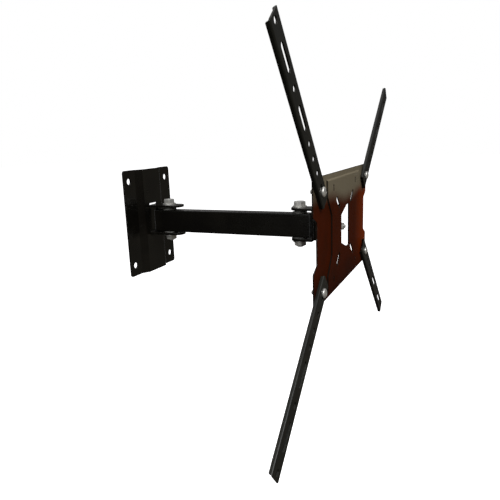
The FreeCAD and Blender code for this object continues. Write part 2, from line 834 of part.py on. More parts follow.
def mirrored(quarter):
    """The four-fold outline that one quarter of formulas makes, taken in order."""
    right = quarter + [(x, f"-({y})") for x, y in reversed(quarter)]
    left = [(f"-({x})", y) for x, y in reversed(right)]
    return right + left


def screen_plate():
    """Wide pressed plate: notched sides, raised waist, window and screw slots."""
    made = node(body("vesa_plate"))
    half_x = "plate_width / 2"
    half_z = "plate_height / 2"
    notch_x = "plate_width / 2 - notch_depth"
    notch_z = "notch_height / 2"
    outline = sketch(made, "XZ_Plane", "-plate_sheet")
    shoulder = (half_x, f"{notch_z} + notch_slope_rise")
    polygon(outline, mirrored([(half_x, half_z), shoulder, (notch_x, notch_z)]))
    pad(made, outline, "plate_sheet")
    round_edges(made, "plate_corner_radius", at(Y_AXIS, [(half_x, None, half_z)]))

    rise = sketch(made, "XZ_Plane")
    polygon(rise, waist_outline("0"))
    pad(made, rise, "emboss_rise", taper="-emboss_taper")
    hollow = sketch(made, "XZ_Plane", "-plate_sheet")
    polygon(hollow, waist_outline("plate_sheet / 2"))
    cut(made, hollow, "emboss_rise", taper="-emboss_taper", reverse=True)

    window = sketch(made, "XZ_Plane")
    side = "window_width / 2"
    top = "window_height / 2"
    cut_x = "window_cut_x - window_width / 2"
    cut_z = "(window_height / 2 - window_cut_z)"
    polygon(window, [
        (side, top),
        (cut_x, top),
        (f"-{side}", cut_z),
        (f"-{side}", f"-{cut_z}"),
        (cut_x, f"-{top}"),
        (side, f"-{top}"),
    ])
    for across in (-1, 1):
        for up in (-1, 1):
            near = (f"{across} * vesa_small / 2", f"{up} * vesa_small / 2")
            far = (f"{across} * vesa_large / 2", f"{up} * vesa_large / 2")
            slot(window, near, far, "vesa_slot_radius")
            x = f"{across} * tie_slot_span_x / 2"
            z = f"{up} * (plate_height / 2 - tie_slot_inset_z)"
            box_outline(window, f"{x} - tie_slot_width / 2", f"{z} - tie_slot_length / 2",
                        f"{x} + tie_slot_width / 2", f"{z} + tie_slot_length / 2")
            bolt_hole = "arm_bolt_radius + hole_clearance"
            circle(window, f"{across} * arm_pivot_x", f"{up} * arm_pivot_z", bolt_hole)
    through(made, window)
    place(made, y="-plate_front_y")


def waist_outline(inset):
    """Outline of the raised centre, narrow at mid height, moved in by an inset."""
    return mirrored([
        (f"shoulder_x - ({inset})", f"plate_height / 2 - emboss_margin - ({inset})"),
        (f"shoulder_x - ({inset})", "shoulder_height / 2"),
        (f"waist_x - ({inset})", "waist_height / 2"),
    ])


def extension_arm(label, across, up, angle):
    """Shallow channel bar with holes; its own frame is on its bolt, along +Z."""
    made = node(body(label))
    half = "arm_width / 2"
    inner = "(arm_width / 2 - arm_sheet)"
    under = "(arm_face - arm_sheet)"
    section = sketch(made, "XY_Plane", "-arm_heel")
    polygon(section, [
        (f"-{half}", "-lip_gap"),
        (f"-{half}", "-arm_face"),
        (half, "-arm_face"),
        (half, "-lip_gap"),
        (inner, "-lip_gap"),
        (inner, f"-{under}"),
        (f"-{inner}", f"-{under}"),
        (f"-{inner}", "-lip_gap"),
    ])
    pad(made, section, "arm_heel + arm_reach")
    round_edges(made, "arm_fold_radius + arm_sheet", at(Z_AXIS, [(half, "arm_face", None)]))
    round_edges(made, "arm_fold_radius", at(Z_AXIS, [(inner, under, None)]))
    ends = sketch(made, "XZ_Plane")
    rounded_box(ends, f"-{half}", "-arm_heel", half, "arm_reach", "arm_corner_radius")
    box_outline(ends, "-arm_width", "-2 * arm_heel", "arm_width", "arm_reach + arm_heel")
    through(made, ends)

    holes = sketch(made, "XZ_Plane")
    slot(holes, ("0", "0"), ("0", "arm_bolt_slot"), "arm_bolt_radius + pin_fit")
    for step in range(3):
        circle(holes, "0", f"arm_hole_first + {step} * arm_hole_pitch", "arm_hole_radius")
    for centre in ("arm_hole_far", "arm_hole_tip"):
        circle(holes, "0", centre, "arm_hole_radius")
    for centre in ("arm_slot_near", "arm_slot_far"):
        reach = "(arm_slot_length / 2 - arm_hole_radius)"
        slot(holes, ("0", f"{centre} - {reach}"), ("0", f"{centre} + {reach}"), "arm_hole_radius")
    through(made, holes)
    turn = f"{across} * ({angle})" if up > 0 else f"{across} * (180 - ({angle}))"
    place(made, x=f"{across} * arm_pivot_x", y="-plate_front_y", z=f"{up} * arm_pivot_z",
          axis=Y_AXIS, angle=turn)


def arm_fasteners():
    """Round-head bolt, spacer, washer and nut at each of the four arm pivots."""
    neck = "arm_face + slide_gap"
    length = f"{neck} + plate_sheet + arm_washer_sheet + arm_nut_height + arm_bolt_tail"
    bolt = body("arm_bolt_blank")
    crown = "arm_bolt_head_radius * 0.55"
    revolve(bolt, [
        ("0", f"-({length})"),
        ("arm_bolt_radius", f"-({length})"),
        ("arm_bolt_radius", "0"),
        ("arm_bolt_head_radius", "0"),
        ("arm_bolt_head_radius", "arm_bolt_head_height * 0.35"),
        ("arm_bolt_head_radius * 0.86", "arm_bolt_head_height * 0.78"),
        (crown, "arm_bolt_head_height"),
        ("0", "arm_bolt_head_height"),
    ])
    gap = "slide_gap"
    spacer = ring("arm_spacer_blank", "arm_bolt_radius + hole_clearance", "arm_spacer_radius",
                  "0", f"arm_face - arm_sheet - {gap}")
    washer = ring("arm_washer_blank", "arm_bolt_radius + hole_clearance", "arm_washer_radius",
                  "0", "arm_washer_sheet")
    nut = hex_nut("arm_nut_blank", "arm_bolt_radius", "arm_nut_flats", "arm_nut_height")
    depth = "plate_sheet + arm_washer_sheet"
    for label, blank, offset in (
        ("arm_bolts", bolt, neck),
        ("arm_spacers", spacer, "0"),
        ("arm_washers", washer, f"-({depth})"),
        ("arm_nuts", nut, f"-({depth})"),
    ):
        group(label, blank, arm_spots(value(offset)))


def arm_spots(offset):
    """Placements on the four arm bolts, with local +Z out of the plate's front."""
    turn = FreeCAD.Rotation(X_AXIS, 90)
    y = -value("plate_front_y") - offset
    spots = []
    for across in (-1, 1):
        for up in (-1, 1):
            x = across * value("arm_pivot_x")
            z = up * value("arm_pivot_z")
            spots.append(FreeCAD.Placement(FreeCAD.Vector(x, y, z), turn))
    return spots


def check_document():
    """Stop if any object failed or any sub-part's shape is missing or faulty."""
    for item in DOC.Objects:
        if "Invalid" in item.State or "Error" in item.State:
            raise RuntimeError(f"{item.Label}: {item.State}")
    for item in NODES:
        shape = item.Shape
        if shape.isNull() or not shape.isValid() or not shape.Solids:
            raise RuntimeError(f"{item.Label}: faulty shape")


def main():
    fill_sheet()
    wall_plate()
    web = "wall_pin_reach - band_rise"
    wall_bracket = clevis("wall_clevis", web, f"{web} + clevis_sheet", "wall_ear_overhang", True, 1)
    place(wall_bracket, y="-wall_pin_reach")
    pivot("wall", "wall_pin_reach", "wall_pivot_washers")
    arm_tube()
    end_cap("arm_cap_wall", True)
    end_cap("arm_cap_head", False)
    head_bracket = clevis("head_clevis", "head_web_reach", "head_web_reach + clevis_sheet",
                          "head_ear_overhang", False, -1)
    place(head_bracket, y="-head_pin_y")
    pivot("head", "head_pin_y", "head_pivot_washers")
    tilt_yoke()
    tilt_tongue()
    tilt_hardware()
    level_hardware()
    level_strap()
    screen_plate()
    extension_arm("extension_arm_upper_left", -1, 1, "arm_angle_upper_left")
    extension_arm("extension_arm_upper_right", 1, 1, "arm_angle_upper_right")
    extension_arm("extension_arm_lower_left", -1, -1, "arm_angle_lower_left")
    extension_arm("extension_arm_lower_right", 1, -1, "arm_angle_lower_right")
    arm_fasteners()
    DOC.recompute()
    check_document()
    os.makedirs("parts", exist_ok=True)
    for item in NODES:
        item.Shape.exportStep(os.path.join("parts", item.Label + ".step"))
    print(len(NODES), "sub-parts written")


main()
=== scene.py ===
"""Looks for a full motion wall mount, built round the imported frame, in metres.

Frame: origin at the centre of the wall plate's back face, +Z up, +X to the right of
someone who faces the wall, and the mount reaches out towards -Y.
"""
import json
import logging
import math
from dataclasses import dataclass
from enum import Enum
from typing import Callable, Dict, List, Optional, Sequence, Tuple, Union

import bmesh
import bpy
from mathutils import Matrix, Vector


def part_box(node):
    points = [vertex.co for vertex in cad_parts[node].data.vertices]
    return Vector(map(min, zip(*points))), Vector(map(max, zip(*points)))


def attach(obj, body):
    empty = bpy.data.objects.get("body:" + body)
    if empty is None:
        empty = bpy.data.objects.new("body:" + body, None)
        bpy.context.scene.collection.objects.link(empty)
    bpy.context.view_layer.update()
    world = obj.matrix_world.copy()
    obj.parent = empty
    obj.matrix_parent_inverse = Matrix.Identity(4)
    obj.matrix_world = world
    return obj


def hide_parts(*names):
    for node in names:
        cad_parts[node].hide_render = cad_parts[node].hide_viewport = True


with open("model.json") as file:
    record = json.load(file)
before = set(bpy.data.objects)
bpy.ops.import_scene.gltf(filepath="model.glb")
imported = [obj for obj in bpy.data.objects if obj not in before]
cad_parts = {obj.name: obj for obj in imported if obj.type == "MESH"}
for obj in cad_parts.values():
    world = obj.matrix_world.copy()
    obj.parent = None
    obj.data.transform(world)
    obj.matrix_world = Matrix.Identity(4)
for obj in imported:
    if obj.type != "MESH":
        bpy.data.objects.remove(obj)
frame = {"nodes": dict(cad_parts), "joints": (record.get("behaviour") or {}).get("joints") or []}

MM = 0.001
LOG = logging.getLogger("wall_mount")
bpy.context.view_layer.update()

Pair = Tuple[float, float]
Colour = Tuple[float, float, float]
Plug = Union["Socket", float, int, Sequence[float], bpy.types.NodeSocket]
Settings = Optional[Dict[str, object]]
Sockets = Optional[Dict[Union[str, int], Plug]]


class Slot(Enum):
    """The record's material slots."""

    FRAME = "frame_lacquer"
    PLATE = "plate_lacquer"
    BAR = "bar_lacquer"
    ZINC = "zinc_steel"
    NYLON = "nylon"
    CAP = "cap_plastic"


class Side(Enum):
    """The four extension bars: sign along X, sign along Z, rest angle from upright."""

    UPPER_LEFT = (-1, 1, 41.0)
    UPPER_RIGHT = (1, 1, 52.0)
    LOWER_LEFT = (-1, -1, 51.0)
    LOWER_RIGHT = (1, -1, 47.5)


# ---------------------------------------------------------------- node graphs


class Socket:
    """A node output that can be written in plain arithmetic."""

    def __init__(self, graph: "Graph", output: bpy.types.NodeSocket) -> None:
        """Remember the output and the graph that it belongs to."""
        self.graph = graph
        self.output = output

    def __add__(self, other: Plug) -> "Socket":
        """Add."""
        return self.graph.maths("ADD", self, other)

    __radd__ = __add__

    def __sub__(self, other: Plug) -> "Socket":
        """Subtract."""
        return self.graph.maths("SUBTRACT", self, other)

    def __mul__(self, other: Plug) -> "Socket":
        """Multiply."""
        return self.graph.maths("MULTIPLY", self, other)

    __rmul__ = __mul__

    def __truediv__(self, other: Plug) -> "Socket":
        """Divide."""
        return self.graph.maths("DIVIDE", self, other)

    def __abs__(self) -> "Socket":
        """Drop the sign."""
        return self.graph.maths("ABSOLUTE", self)

    def step(self, low: float, high: float) -> "Socket":
        """Rise smoothly from 0 at low to 1 at high.

        Args:
            low: where the rise starts.
            high: where it ends; a high below low gives a fall.

        Returns:
            The value between 0 and 1.
        """
        return self.graph.value("ShaderNodeMapRange", {"interpolation_type": "SMOOTHSTEP"},
                                {"Value": self, "From Min": low, "From Max": high})


class Graph:
    """Builds the nodes of a material, a world or a geometry tree."""

    def __init__(self, tree: bpy.types.NodeTree) -> None:
        """Start from an empty tree."""
        self.tree = tree
        tree.nodes.clear()

    def node(self, kind: str, settings: Settings = None, sockets: Sockets = None) -> bpy.types.Node:
        """Add one node.

        Args:
            kind: the node's type name.
            settings: its properties, which are set first.
            sockets: values or links for its inputs, by name or number.

        Returns:
            The new node.
        """
        made = self.tree.nodes.new(kind)
        for name, value in (settings or {}).items():
            setattr(made, name, value)
        for key, value in (sockets or {}).items():
            socket = made.inputs[key]
            if isinstance(value, Socket):
                self.tree.links.new(value.output, socket)
            else:
                socket.default_value = value
        return made

    def value(self, kind: str, settings: Settings = None, sockets: Sockets = None,
              output: Union[str, int] = 0) -> Socket:
        """Add one node and return one of its outputs."""
        return Socket(self, self.node(kind, settings, sockets).outputs[output])

    def maths(self, operation: str, *values: Plug) -> Socket:
        """Add one Math node and return its output."""
        return self.value("ShaderNodeMath", {"operation": operation}, dict(enumerate(values)))

    def clamp(self, value: Plug, high: Plug) -> Socket:
        """Keep a value between 0 and high."""
        return self.maths("MAXIMUM", self.maths("MINIMUM", value, high), 0.0)

    def vector(self, x: Plug = 0.0, y: Plug = 0.0, z: Plug = 0.0) -> Socket:
        """Join three numbers to a vector."""
        return self.value("ShaderNodeCombineXYZ", None, {0: x, 1: y, 2: z})

    def parts(self, vector: Plug) -> List[Socket]:
        """The X, Y and Z of a vector."""
        made = self.node("ShaderNodeSeparateXYZ", None, {0: vector})
        return [Socket(self, output) for output in made.outputs]

    def mix(self, low: Plug, high: Plug, factor: Plug) -> Socket:
        """Blend two colours by a factor between 0 and 1."""
        pair = [value if isinstance(value, Socket) else (*value, 1.0) for value in (low, high)]
        return self.value("ShaderNodeMix", {"data_type": "RGBA"},
                          {0: factor, 6: pair[0], 7: pair[1]}, 2)

    def noise(self, vector: Plug, scale: float, detail: float = 2.0, rough: float = 0.5) -> Socket:
        """Add a noise pattern with its scale in waves per metre, and return its value."""
        return self.value("ShaderNodeTexNoise", None, {
            "Vector": vector, "Scale": scale, "Detail": detail, "Roughness": rough})

    def place(self, stretch: Sequence[float] = (1.0, 1.0, 1.0)) -> Socket:
        """Object coordinates in metres, stretched along each axis."""
        raw = self.value("ShaderNodeTexCoord", output="Object")
        return self.value("ShaderNodeMapping", None, {"Vector": raw, "Scale": tuple(stretch)})

    def attribute(self, name: str) -> Socket:
        """A number that the mesh carries."""
        return self.value("ShaderNodeAttribute", {"attribute_name": name}, output="Fac")

    def normal(self) -> List[Socket]:
        """The X, Y and Z of the direction that the surface faces."""
        return self.parts(self.value("ShaderNodeNewGeometry", output="Normal"))

    def bump(self, height: Plug, depth: float, strength: float) -> Socket:
        """A Bump node's normal from a height between 0 and 1 and a depth in metres."""
        return self.value("ShaderNodeBump", None,
                          {"Height": height, "Distance": depth, "Strength": strength})

    def surface(self, sockets: Sockets) -> None:
        """End a material's tree with one Principled shader."""
        shader = self.value("ShaderNodeBsdfPrincipled", None, sockets)
        self.node("ShaderNodeOutputMaterial", None, {"Surface": shader})


# ------------------------------------------------------------------- finishes


@dataclass(frozen=True)
class Finish:
    """A surface treatment; each kind draws its own shader."""

    name: str

    def material(self) -> bpy.types.Material:
        """Make the material once and give the same one after that."""
        found = bpy.data.materials.get(self.name)
        if found is None:
            found = bpy.data.materials.new(self.name)
            found.use_nodes = True
            self.draw(Graph(found.node_tree))
        return found

    def draw(self, graph: Graph) -> None:
        """Fill in the material's nodes."""
        raise NotImplementedError


@dataclass(frozen=True)
class Lacquer(Finish):
    """Sprayed lacquer on steel, with orange peel, a little dust and worn cut edges."""

    colour: Colour = (0.0026, 0.0023, 0.0018)
    cloud: Colour = (0.0052, 0.0046, 0.0034)
    film: Colour = (0.075, 0.068, 0.056)
    bare: Colour = (0.12, 0.115, 0.105)
    roughness: float = 0.26
    coat: float = 0.2
    specular: float = 0.22
    peel: float = 26e-6
    dust: float = 0.09
    wear: float = 0.5

    def ground(self, graph: Graph, place: Socket) -> Socket:
        """The lacquer's colour before dust and wear: its own colour here, and on the screen plate a
        painted reflection with painted shade.

        Args:
            graph: the graph that the nodes go in.
            place: the point's object coordinates.

        Returns:
            The colour.
        """
        return graph.mix(self.colour, self.cloud, graph.noise(place, 22.0, 3.0).step(0.35, 0.7))

    def draw(self, graph: Graph) -> None:
        """Layer colour, dust, wear and orange peel."""
        place = graph.place()
        patches = graph.noise(place, 34.0, 4.0, 0.6)
        specks = graph.noise(place, 1500.0, 1.0).step(0.66, 0.74)
        level = graph.normal()[2].step(0.55, 0.95)
        dust = self.dust * level * (0.35 + 0.65 * patches) + 0.10 * self.dust * specks
        chips = graph.attribute("rim").step(0.6, 0.9)
        chips = chips * graph.noise(place, 240.0, 3.0, 0.65).step(0.52, 0.62) * self.wear
        colour = graph.mix(self.ground(graph, place), self.film, dust)
        colour = graph.mix(colour, self.bare, chips)
        peel = graph.noise(place, 420.0, 2.0, 0.45) + 0.22 * graph.noise(place, 1900.0, 1.0)
        rough = self.roughness + 0.16 * (patches - 0.5) + 0.35 * dust + 0.2 * chips
        graph.surface({
            "Base Color": colour,
            "Roughness": rough,
            "Metallic": 0.6 * chips,
            "Specular IOR Level": self.specular,
            "Coat Weight": self.coat,
            "Coat Roughness": 0.09,
            "Normal": graph.bump(peel, self.peel, 0.6),
        })


@dataclass(frozen=True)
class PaintedReflectionLacquer(Lacquer):
    """Near-black lacquer with a painted reflection that runs from olive grey at the top through
    red-brown to near black.
    """

    # Painted reflection colours, not the lacquer's own: olive-grey sheen at the top, red-brown in
    # the middle, brighter red at the right side, near black at the bottom.
    top: Colour = (0.165, 0.140, 0.095)
    middle: Colour = (0.050, 0.0068, 0.0005)
    edge: Colour = (0.27, 0.034, 0.0002)
    foot: Colour = (0.024, 0.0038, 0.0008)

    def ground(self, graph: Graph, place: Socket) -> Socket:
        """Blend four painted reflection colours by height and by distance to the side, then lay
        painted shade over the cut sides and the faces turned towards -X.

        Args:
            graph: the graph that the nodes go in.
            place: the point's object coordinates.

        Returns:
            The colour.
        """
        across, _, height = graph.parts(place)
        # Painted shade mask: the cut sides and the faces turned towards -X go near black.
        cut_side = graph.attribute("rim").step(0.2, 0.45)
        shade = graph.maths("MAXIMUM", cut_side, graph.normal()[0].step(-0.12, -0.4))
        drift = (graph.noise(place, 9.0, 3.0) - 0.5) * 0.03
        level = height + drift + across * 0.03
        clouds = graph.noise(place, 26.0, 3.0).step(0.4, 0.75)
        colour = graph.mix(self.middle, self.cloud, 0.35 * clouds)
        # Painted reflection: brighter red towards the plate's right side.
        colour = graph.mix(colour, self.edge, (across + drift).step(0.05, 0.165) * 0.55)
        # Painted reflection fades to near black towards the bottom.
        colour = graph.mix(colour, self.foot, level.step(-0.035, -0.09) * 0.75)
        # The outer corners stay near black, outside the painted reflection.
        corner = abs(across).step(0.105, 0.15) * abs(height).step(0.045, 0.085)
        # Painted olive-grey reflection across the top.
        colour = graph.mix(colour, self.top, level.step(0.041, 0.066))
        colour = graph.mix(colour, self.colour, 0.85 * corner)
        # Painted shade over the cut sides and the faces turned towards -X.
        return graph.mix(colour, self.colour, 0.9 * shade)


@dataclass(frozen=True)
class Zinc(Finish):
    """Bright zinc plate: pale metal with faint clouding and fine turning marks."""

    colour: Colour = (0.66, 0.65, 0.61)
    cloud: Colour = (0.44, 0.44, 0.43)
    roughness: float = 0.34

    def draw(self, graph: Graph) -> None:
        """Cloud the colour and roughen it with fine scratches."""
        place = graph.place()
        patches = graph.noise(place, 120.0, 4.0, 0.6)
        marks = graph.noise(graph.place((1.0, 1.0, 14.0)), 700.0, 3.0, 0.6)
        graph.surface({
            "Base Color": graph.mix(self.colour, self.cloud, patches.step(0.4, 0.75)),
            "Roughness": self.roughness + 0.22 * (patches - 0.4) + 0.12 * (marks - 0.5),
            "Metallic": 0.72,
            "Normal": graph.bump(marks, 12e-6, 0.5),
        })


@dataclass(frozen=True)
class Moulded(Finish):
    """Moulded plastic with a fine grain."""

    colour: Colour = (0.02, 0.02, 0.02)
    cloud: Colour = (0.035, 0.034, 0.032)
    roughness: float = 0.5
    grain: float = 30e-6

    def draw(self, graph: Graph) -> None:
        """Grain the surface and vary its colour a little."""
        place = graph.place()
        patches = graph.noise(place, 60.0, 3.0)
        grain = graph.value("ShaderNodeTexVoronoi", None, {"Vector": place, "Scale": 1100.0})
        graph.surface({
            "Base Color": graph.mix(self.colour, self.cloud, patches.step(0.35, 0.7)),
            "Roughness": self.roughness + 0.14 * (patches - 0.5) + 0.1 * grain,
            "Specular IOR Level": 0.4,
            "Normal": graph.bump(grain, self.grain, 0.5),
        })


FINISHES: Dict[Slot, Finish] = {
    Slot.FRAME: Lacquer("frame_lacquer_gloss"),
    # The screen plate's red-brown and olive grey are a painted reflection on near-black lacquer,
    # whose own gloss is turned almost off.
    Slot.PLATE: PaintedReflectionLacquer("plate_lacquer_shaded", colour=(0.006, 0.0052, 0.004),
                              cloud=(0.010, 0.005, 0.0015), roughness=0.42,
                              specular=0.015, coat=0.0, dust=0.03),
    Slot.BAR: Lacquer("bar_lacquer_satin", colour=(0.0075, 0.0078, 0.0062),
                      cloud=(0.013, 0.013, 0.010), roughness=0.38, coat=0.08, specular=0.2),
    Slot.ZINC: Zinc("zinc_bright"),
    Slot.NYLON: Moulded("nylon_grey", colour=(0.13, 0.13, 0.12), cloud=(0.09, 0.09, 0.085),
                        roughness=0.42, grain=8e-6),
    Slot.CAP: Moulded("cap_plastic_grained"),
}


# ------------------------------------------------------------- sheet and turning


WIDE_ROUND = 4.0 * MM
SLOT_CHORDS = 14
SEAM = 2e-6
Lay = Callable[[float, float], Tuple[Vector, Vector]]
Cut = Tuple[float, float, float]


class Outline:
    """Closed outlines of a flat blank, as lists of points."""

    @staticmethod
    def ring(x: float, y: float, radius: float, steps: int = 40) -> List[Pair]:
        """A circle as a polygon."""
        turn = 2 * math.pi / steps
        return [(x + radius * math.cos(turn * i), y + radius * math.sin(turn * i))
                for i in range(steps)]

    @staticmethod
    def rounded(points: Sequence[Pair], radii: Union[float, Sequence[float]],
                steps: int = 6) -> List[Pair]:
        """Round the corners of a polygon.

        Args:
            points: its corners in order.
            radii: one radius for all corners, or one for each; 0 leaves a corner sharp.
            steps: how many chords each round has; a wide round has twice as many.

        Returns:
            The rounded outline.
        """
        sizes = [radii] * len(points) if isinstance(radii, (int, float)) else list(radii)
        made: List[Pair] = []
        for index, size in enumerate(sizes):
            corner = Vector(points[index])
            back = (Vector(points[index - 1]) - corner).normalized()
            ahead = (Vector(points[(index + 1) % len(points)]) - corner).normalized()
            if size <= 0:
                made.append(tuple(corner))
                continue
            half = back.angle(ahead) / 2
            centre = corner + (back + ahead).normalized() * (size / math.sin(half))
            start = corner + back * (size / math.tan(half)) - centre
            end = corner + ahead * (size / math.tan(half)) - centre
            sweep = math.atan2(start.x * end.y - start.y * end.x, start.dot(end))
            chords = steps * (2 if size > WIDE_ROUND else 1)
            for step in range(chords + 1):
                turn = Matrix.Rotation(sweep * step / chords, 2)
                made.append(tuple(centre + turn @ start))
        return made

    @staticmethod
    def box(low: Pair, high: Pair, radius: float = 0.0) -> List[Pair]:
        """A rectangle from two corners, with round corners."""
        points = [low, (high[0], low[1]), high, (low[0], high[1])]
        return Outline.rounded(points, radius)

    @staticmethod
    def slot(start: Pair, end: Pair, radius: float) -> List[Pair]:
        """A round-ended slot between two centres."""
        heading = math.atan2(end[1] - start[1], end[0] - start[0])
        made = []
        for (x, y), first in ((end, heading - math.pi / 2), (start, heading + math.pi / 2)):
            for step in range(SLOT_CHORDS + 1):
                turn = first + math.pi * step / SLOT_CHORDS
                made.append((x + radius * math.cos(turn), y + radius * math.sin(turn)))
        return made

    @staticmethod
    def mirrored(quarter: Sequence[Pair]) -> List[Pair]:
        """The four-fold outline that one quarter makes."""
        right = list(quarter) + [(x, -y) for x, y in reversed(quarter)]
        return right + [(-x, y) for x, y in reversed(right)]

    @staticmethod
    def grown(points: Sequence[Pair], distance: float) -> List[Pair]:
        """Move an outline outwards by a distance, or inwards by a negative one."""
        count = len(points)
        area = sum(points[i - 1][0] * points[i][1] - points[i][0] * points[i - 1][1]
                   for i in range(count))
        sign = 1.0 if area > 0 else -1.0
        made = []
        for index in range(count):
            here = Vector(points[index])
            before = (here - Vector(points[index - 1])).normalized()
            after = (Vector(points[(index + 1) % count]) - here).normalized()
            first = Vector((before.y, -before.x)) * sign
            second = Vector((after.y, -after.x)) * sign
            made.append(tuple(here + (first + second) * (distance / (1 + first.dot(second)))))
        return made


@dataclass
class FoldLine:
    """The middle line of a folded sheet's section: straight runs with round folds.

    Distances along it are measured from its middle.
    """

    corners: Sequence[Pair]
    radius: float
    steps: int = 7

    def __post_init__(self) -> None:
        """Work out the runs and folds."""
        self.runs: List[Tuple[float, float, Vector, Vector, Optional[Vector], float]] = []
        points = [Vector(corner) for corner in self.corners]
        place = points[0]
        length = 0.0
        for index in range(1, len(points)):
            heading = (points[index] - points[index - 1]).normalized()
            end = points[index]
            if index < len(points) - 1:
                ahead = (points[index + 1] - points[index]).normalized()
                turn = math.atan2(heading.x * ahead.y - heading.y * ahead.x, heading.dot(ahead))
                trim = self.radius * math.tan(abs(turn) / 2)
                end = points[index] - heading * trim
            run = (end - place).length
            self.runs.append((length, run, place, heading, None, 0.0))
            length += run
            if index < len(points) - 1:
                side = Vector((-heading.y, heading.x)) * math.copysign(1.0, turn)
                centre = end + side * self.radius
                arc = abs(turn) * self.radius
                self.runs.append((length, arc, end, heading, centre, turn))
                length += arc
                place = points[index] + ahead * trim
        self.length = length

    def at(self, distance: float) -> Tuple[Vector, Vector]:
        """The point and unit normal at a distance from the line's middle.

        Args:
            distance: how far along the line, measured from its middle.

        Returns:
            The point, and the normal to the right of the way along.
        """
        far = distance + self.length / 2
        chosen = self.runs[0]
        for run in self.runs:
            if far >= run[0]:
                chosen = run
        start, extent, place, heading, centre, turn = chosen
        if centre is None:
            return place + heading * (far - start), Vector((heading.y, -heading.x))
        swing = Matrix.Rotation(turn * (far - start) / extent, 2)
        heading = swing @ heading
        return centre + swing @ (place - centre), Vector((heading.y, -heading.x))

    def cuts(self) -> List[Cut]:
        """The blank's cut lines, where the folds need rows of vertices."""
        found = []
        for start, extent, _, _, centre, _ in self.runs:
            if centre is not None:
                found += [start + extent * step / self.steps - self.length / 2
                          for step in range(self.steps + 1)]
        return [(1.0, 0.0, -place) for place in found]

    def upright(self, s: float, v: float) -> Tuple[Vector, Vector]:
        """Lay a sheet along a section in X and Y, with its other direction along Z."""
        point, normal = self.at(s)
        return Vector((point.x, point.y, v)), Vector((normal.x, normal.y, 0.0))

    def level(self, s: float, v: float) -> Tuple[Vector, Vector]:
        """Lay a sheet along a section in Y and Z, with its other direction along X."""
        point, normal = self.at(s)
        return Vector((v, point.x, point.y)), Vector((0.0, normal.x, normal.y))

    def band(self, half: float, corner: float) -> List[Pair]:
        """A blank as long as the line, from -half to half across."""
        return Outline.box((-self.length / 2, -half), (self.length / 2, half), corner)

    def from_end(self, distance: float) -> float:
        """The place a distance back from the line's far end."""
        return self.length / 2 - distance



@dataclass
class Sheet:
    """A blank that is punched, cut, given its thickness and laid over a shape.

    lay turns a point of the blank into a point of the sheet's middle and its normal.
    cuts are lines a x + b y + c = 0 of the blank that get a row of vertices.
    """

    outline: List[Pair]
    holes: List[List[Pair]]
    thickness: float
    lay: Lay
    cuts: Sequence[Cut] = ()
    rim: float = 0.35 * MM
    rounds: int = 2

    def blank(self) -> bmesh.types.BMesh:
        """The flat blank, without its outermost rim, with its rows of vertices."""
        flat = bmesh.new()
        edges = []
        loops = [Outline.grown(self.outline, -self.rim)]
        loops += [Outline.grown(hole, self.rim) for hole in self.holes]
        for loop in loops:
            verts = [flat.verts.new((x, y, 0.0)) for x, y in loop]
            edges += [flat.edges.new((a, b)) for a, b in zip(verts, verts[1:] + verts[:1])]
        bmesh.ops.triangle_fill(flat, use_beauty=True, edges=edges, normal=(0, 0, 1))
        for a, b, c in self.cuts:
            size = a * a + b * b
            geometry = flat.verts[:] + flat.edges[:] + flat.faces[:]
            bmesh.ops.bisect_plane(flat, geom=geometry, dist=SEAM, plane_no=(a, b, 0.0),
                                   plane_co=(-a * c / size, -b * c / size, 0.0))
        for face in flat.faces:
            if face.normal.z < 0:
                face.normal_flip()
        return flat

    def borders(self, flat: bmesh.types.BMesh) -> List[List[bmesh.types.BMVert]]:
        """The blank's border loops, each with the metal on its left."""
        following = {}
        for edge in flat.edges:
            if len(edge.link_faces) == 1:
                corner = edge.link_loops[0]
                following[corner.vert] = corner.link_loop_next.vert
        loops = []
        while following:
            vert = next(iter(following))
            loop = []
            while vert in following:
                loop.append(vert)
                vert = following.pop(vert)
            loops.append(loop)
        return loops

    def build(self, mesh: "Forge") -> None:
        """Add the finished sheet to a mesh.

        Args:
            mesh: the mesh that it joins.
        """
        flat = self.blank()
        flat.verts.index_update()
        half = self.thickness / 2
        faces: List[List[bmesh.types.BMVert]] = [[], []]
        for vert in flat.verts:
            middle, normal = self.lay(vert.co.x, vert.co.y)
            faces[0].append(mesh.vert(middle + normal * half))
            faces[1].append(mesh.vert(middle - normal * half))
        for face in flat.faces:
            numbers = [vert.index for vert in face.verts]
            mesh.face([faces[0][number] for number in numbers])
            mesh.face([faces[1][number] for number in reversed(numbers)])
        quarter = [math.pi / 2 * step / self.rounds for step in range(1, self.rounds + 1)]
        upper = [(self.rim * math.sin(a), self.rim * (1 - math.cos(a))) for a in quarter]
        steps = upper + [(out, self.thickness - drop) for out, drop in reversed(upper)]
        for loop in self.borders(flat):
            rows = []
            for index, vert in enumerate(loop):
                here = vert.co.xy
                before = (here - loop[index - 1].co.xy).normalized()
                after = (loop[(index + 1) % len(loop)].co.xy - here).normalized()
                first, second = Vector((before.y, -before.x)), Vector((after.y, -after.x))
                out = (first + second) / max(0.35, 1 + first.dot(second))
                row = [faces[0][vert.index]]
                for distance, drop in steps:
                    point = here + out * distance
                    middle, normal = self.lay(point.x, point.y)
                    row.append(mesh.vert(middle + normal * (half - drop)))
                rows.append(row + [faces[1][vert.index]])
            for index, row in enumerate(rows):
                before = rows[index - 1]
                for step in range(len(row) - 1):
                    ring = [before[step], before[step + 1], row[step + 1], row[step]]
                    mesh.face(ring, 0.5 if step == self.rounds else 1.0)
        flat.free()


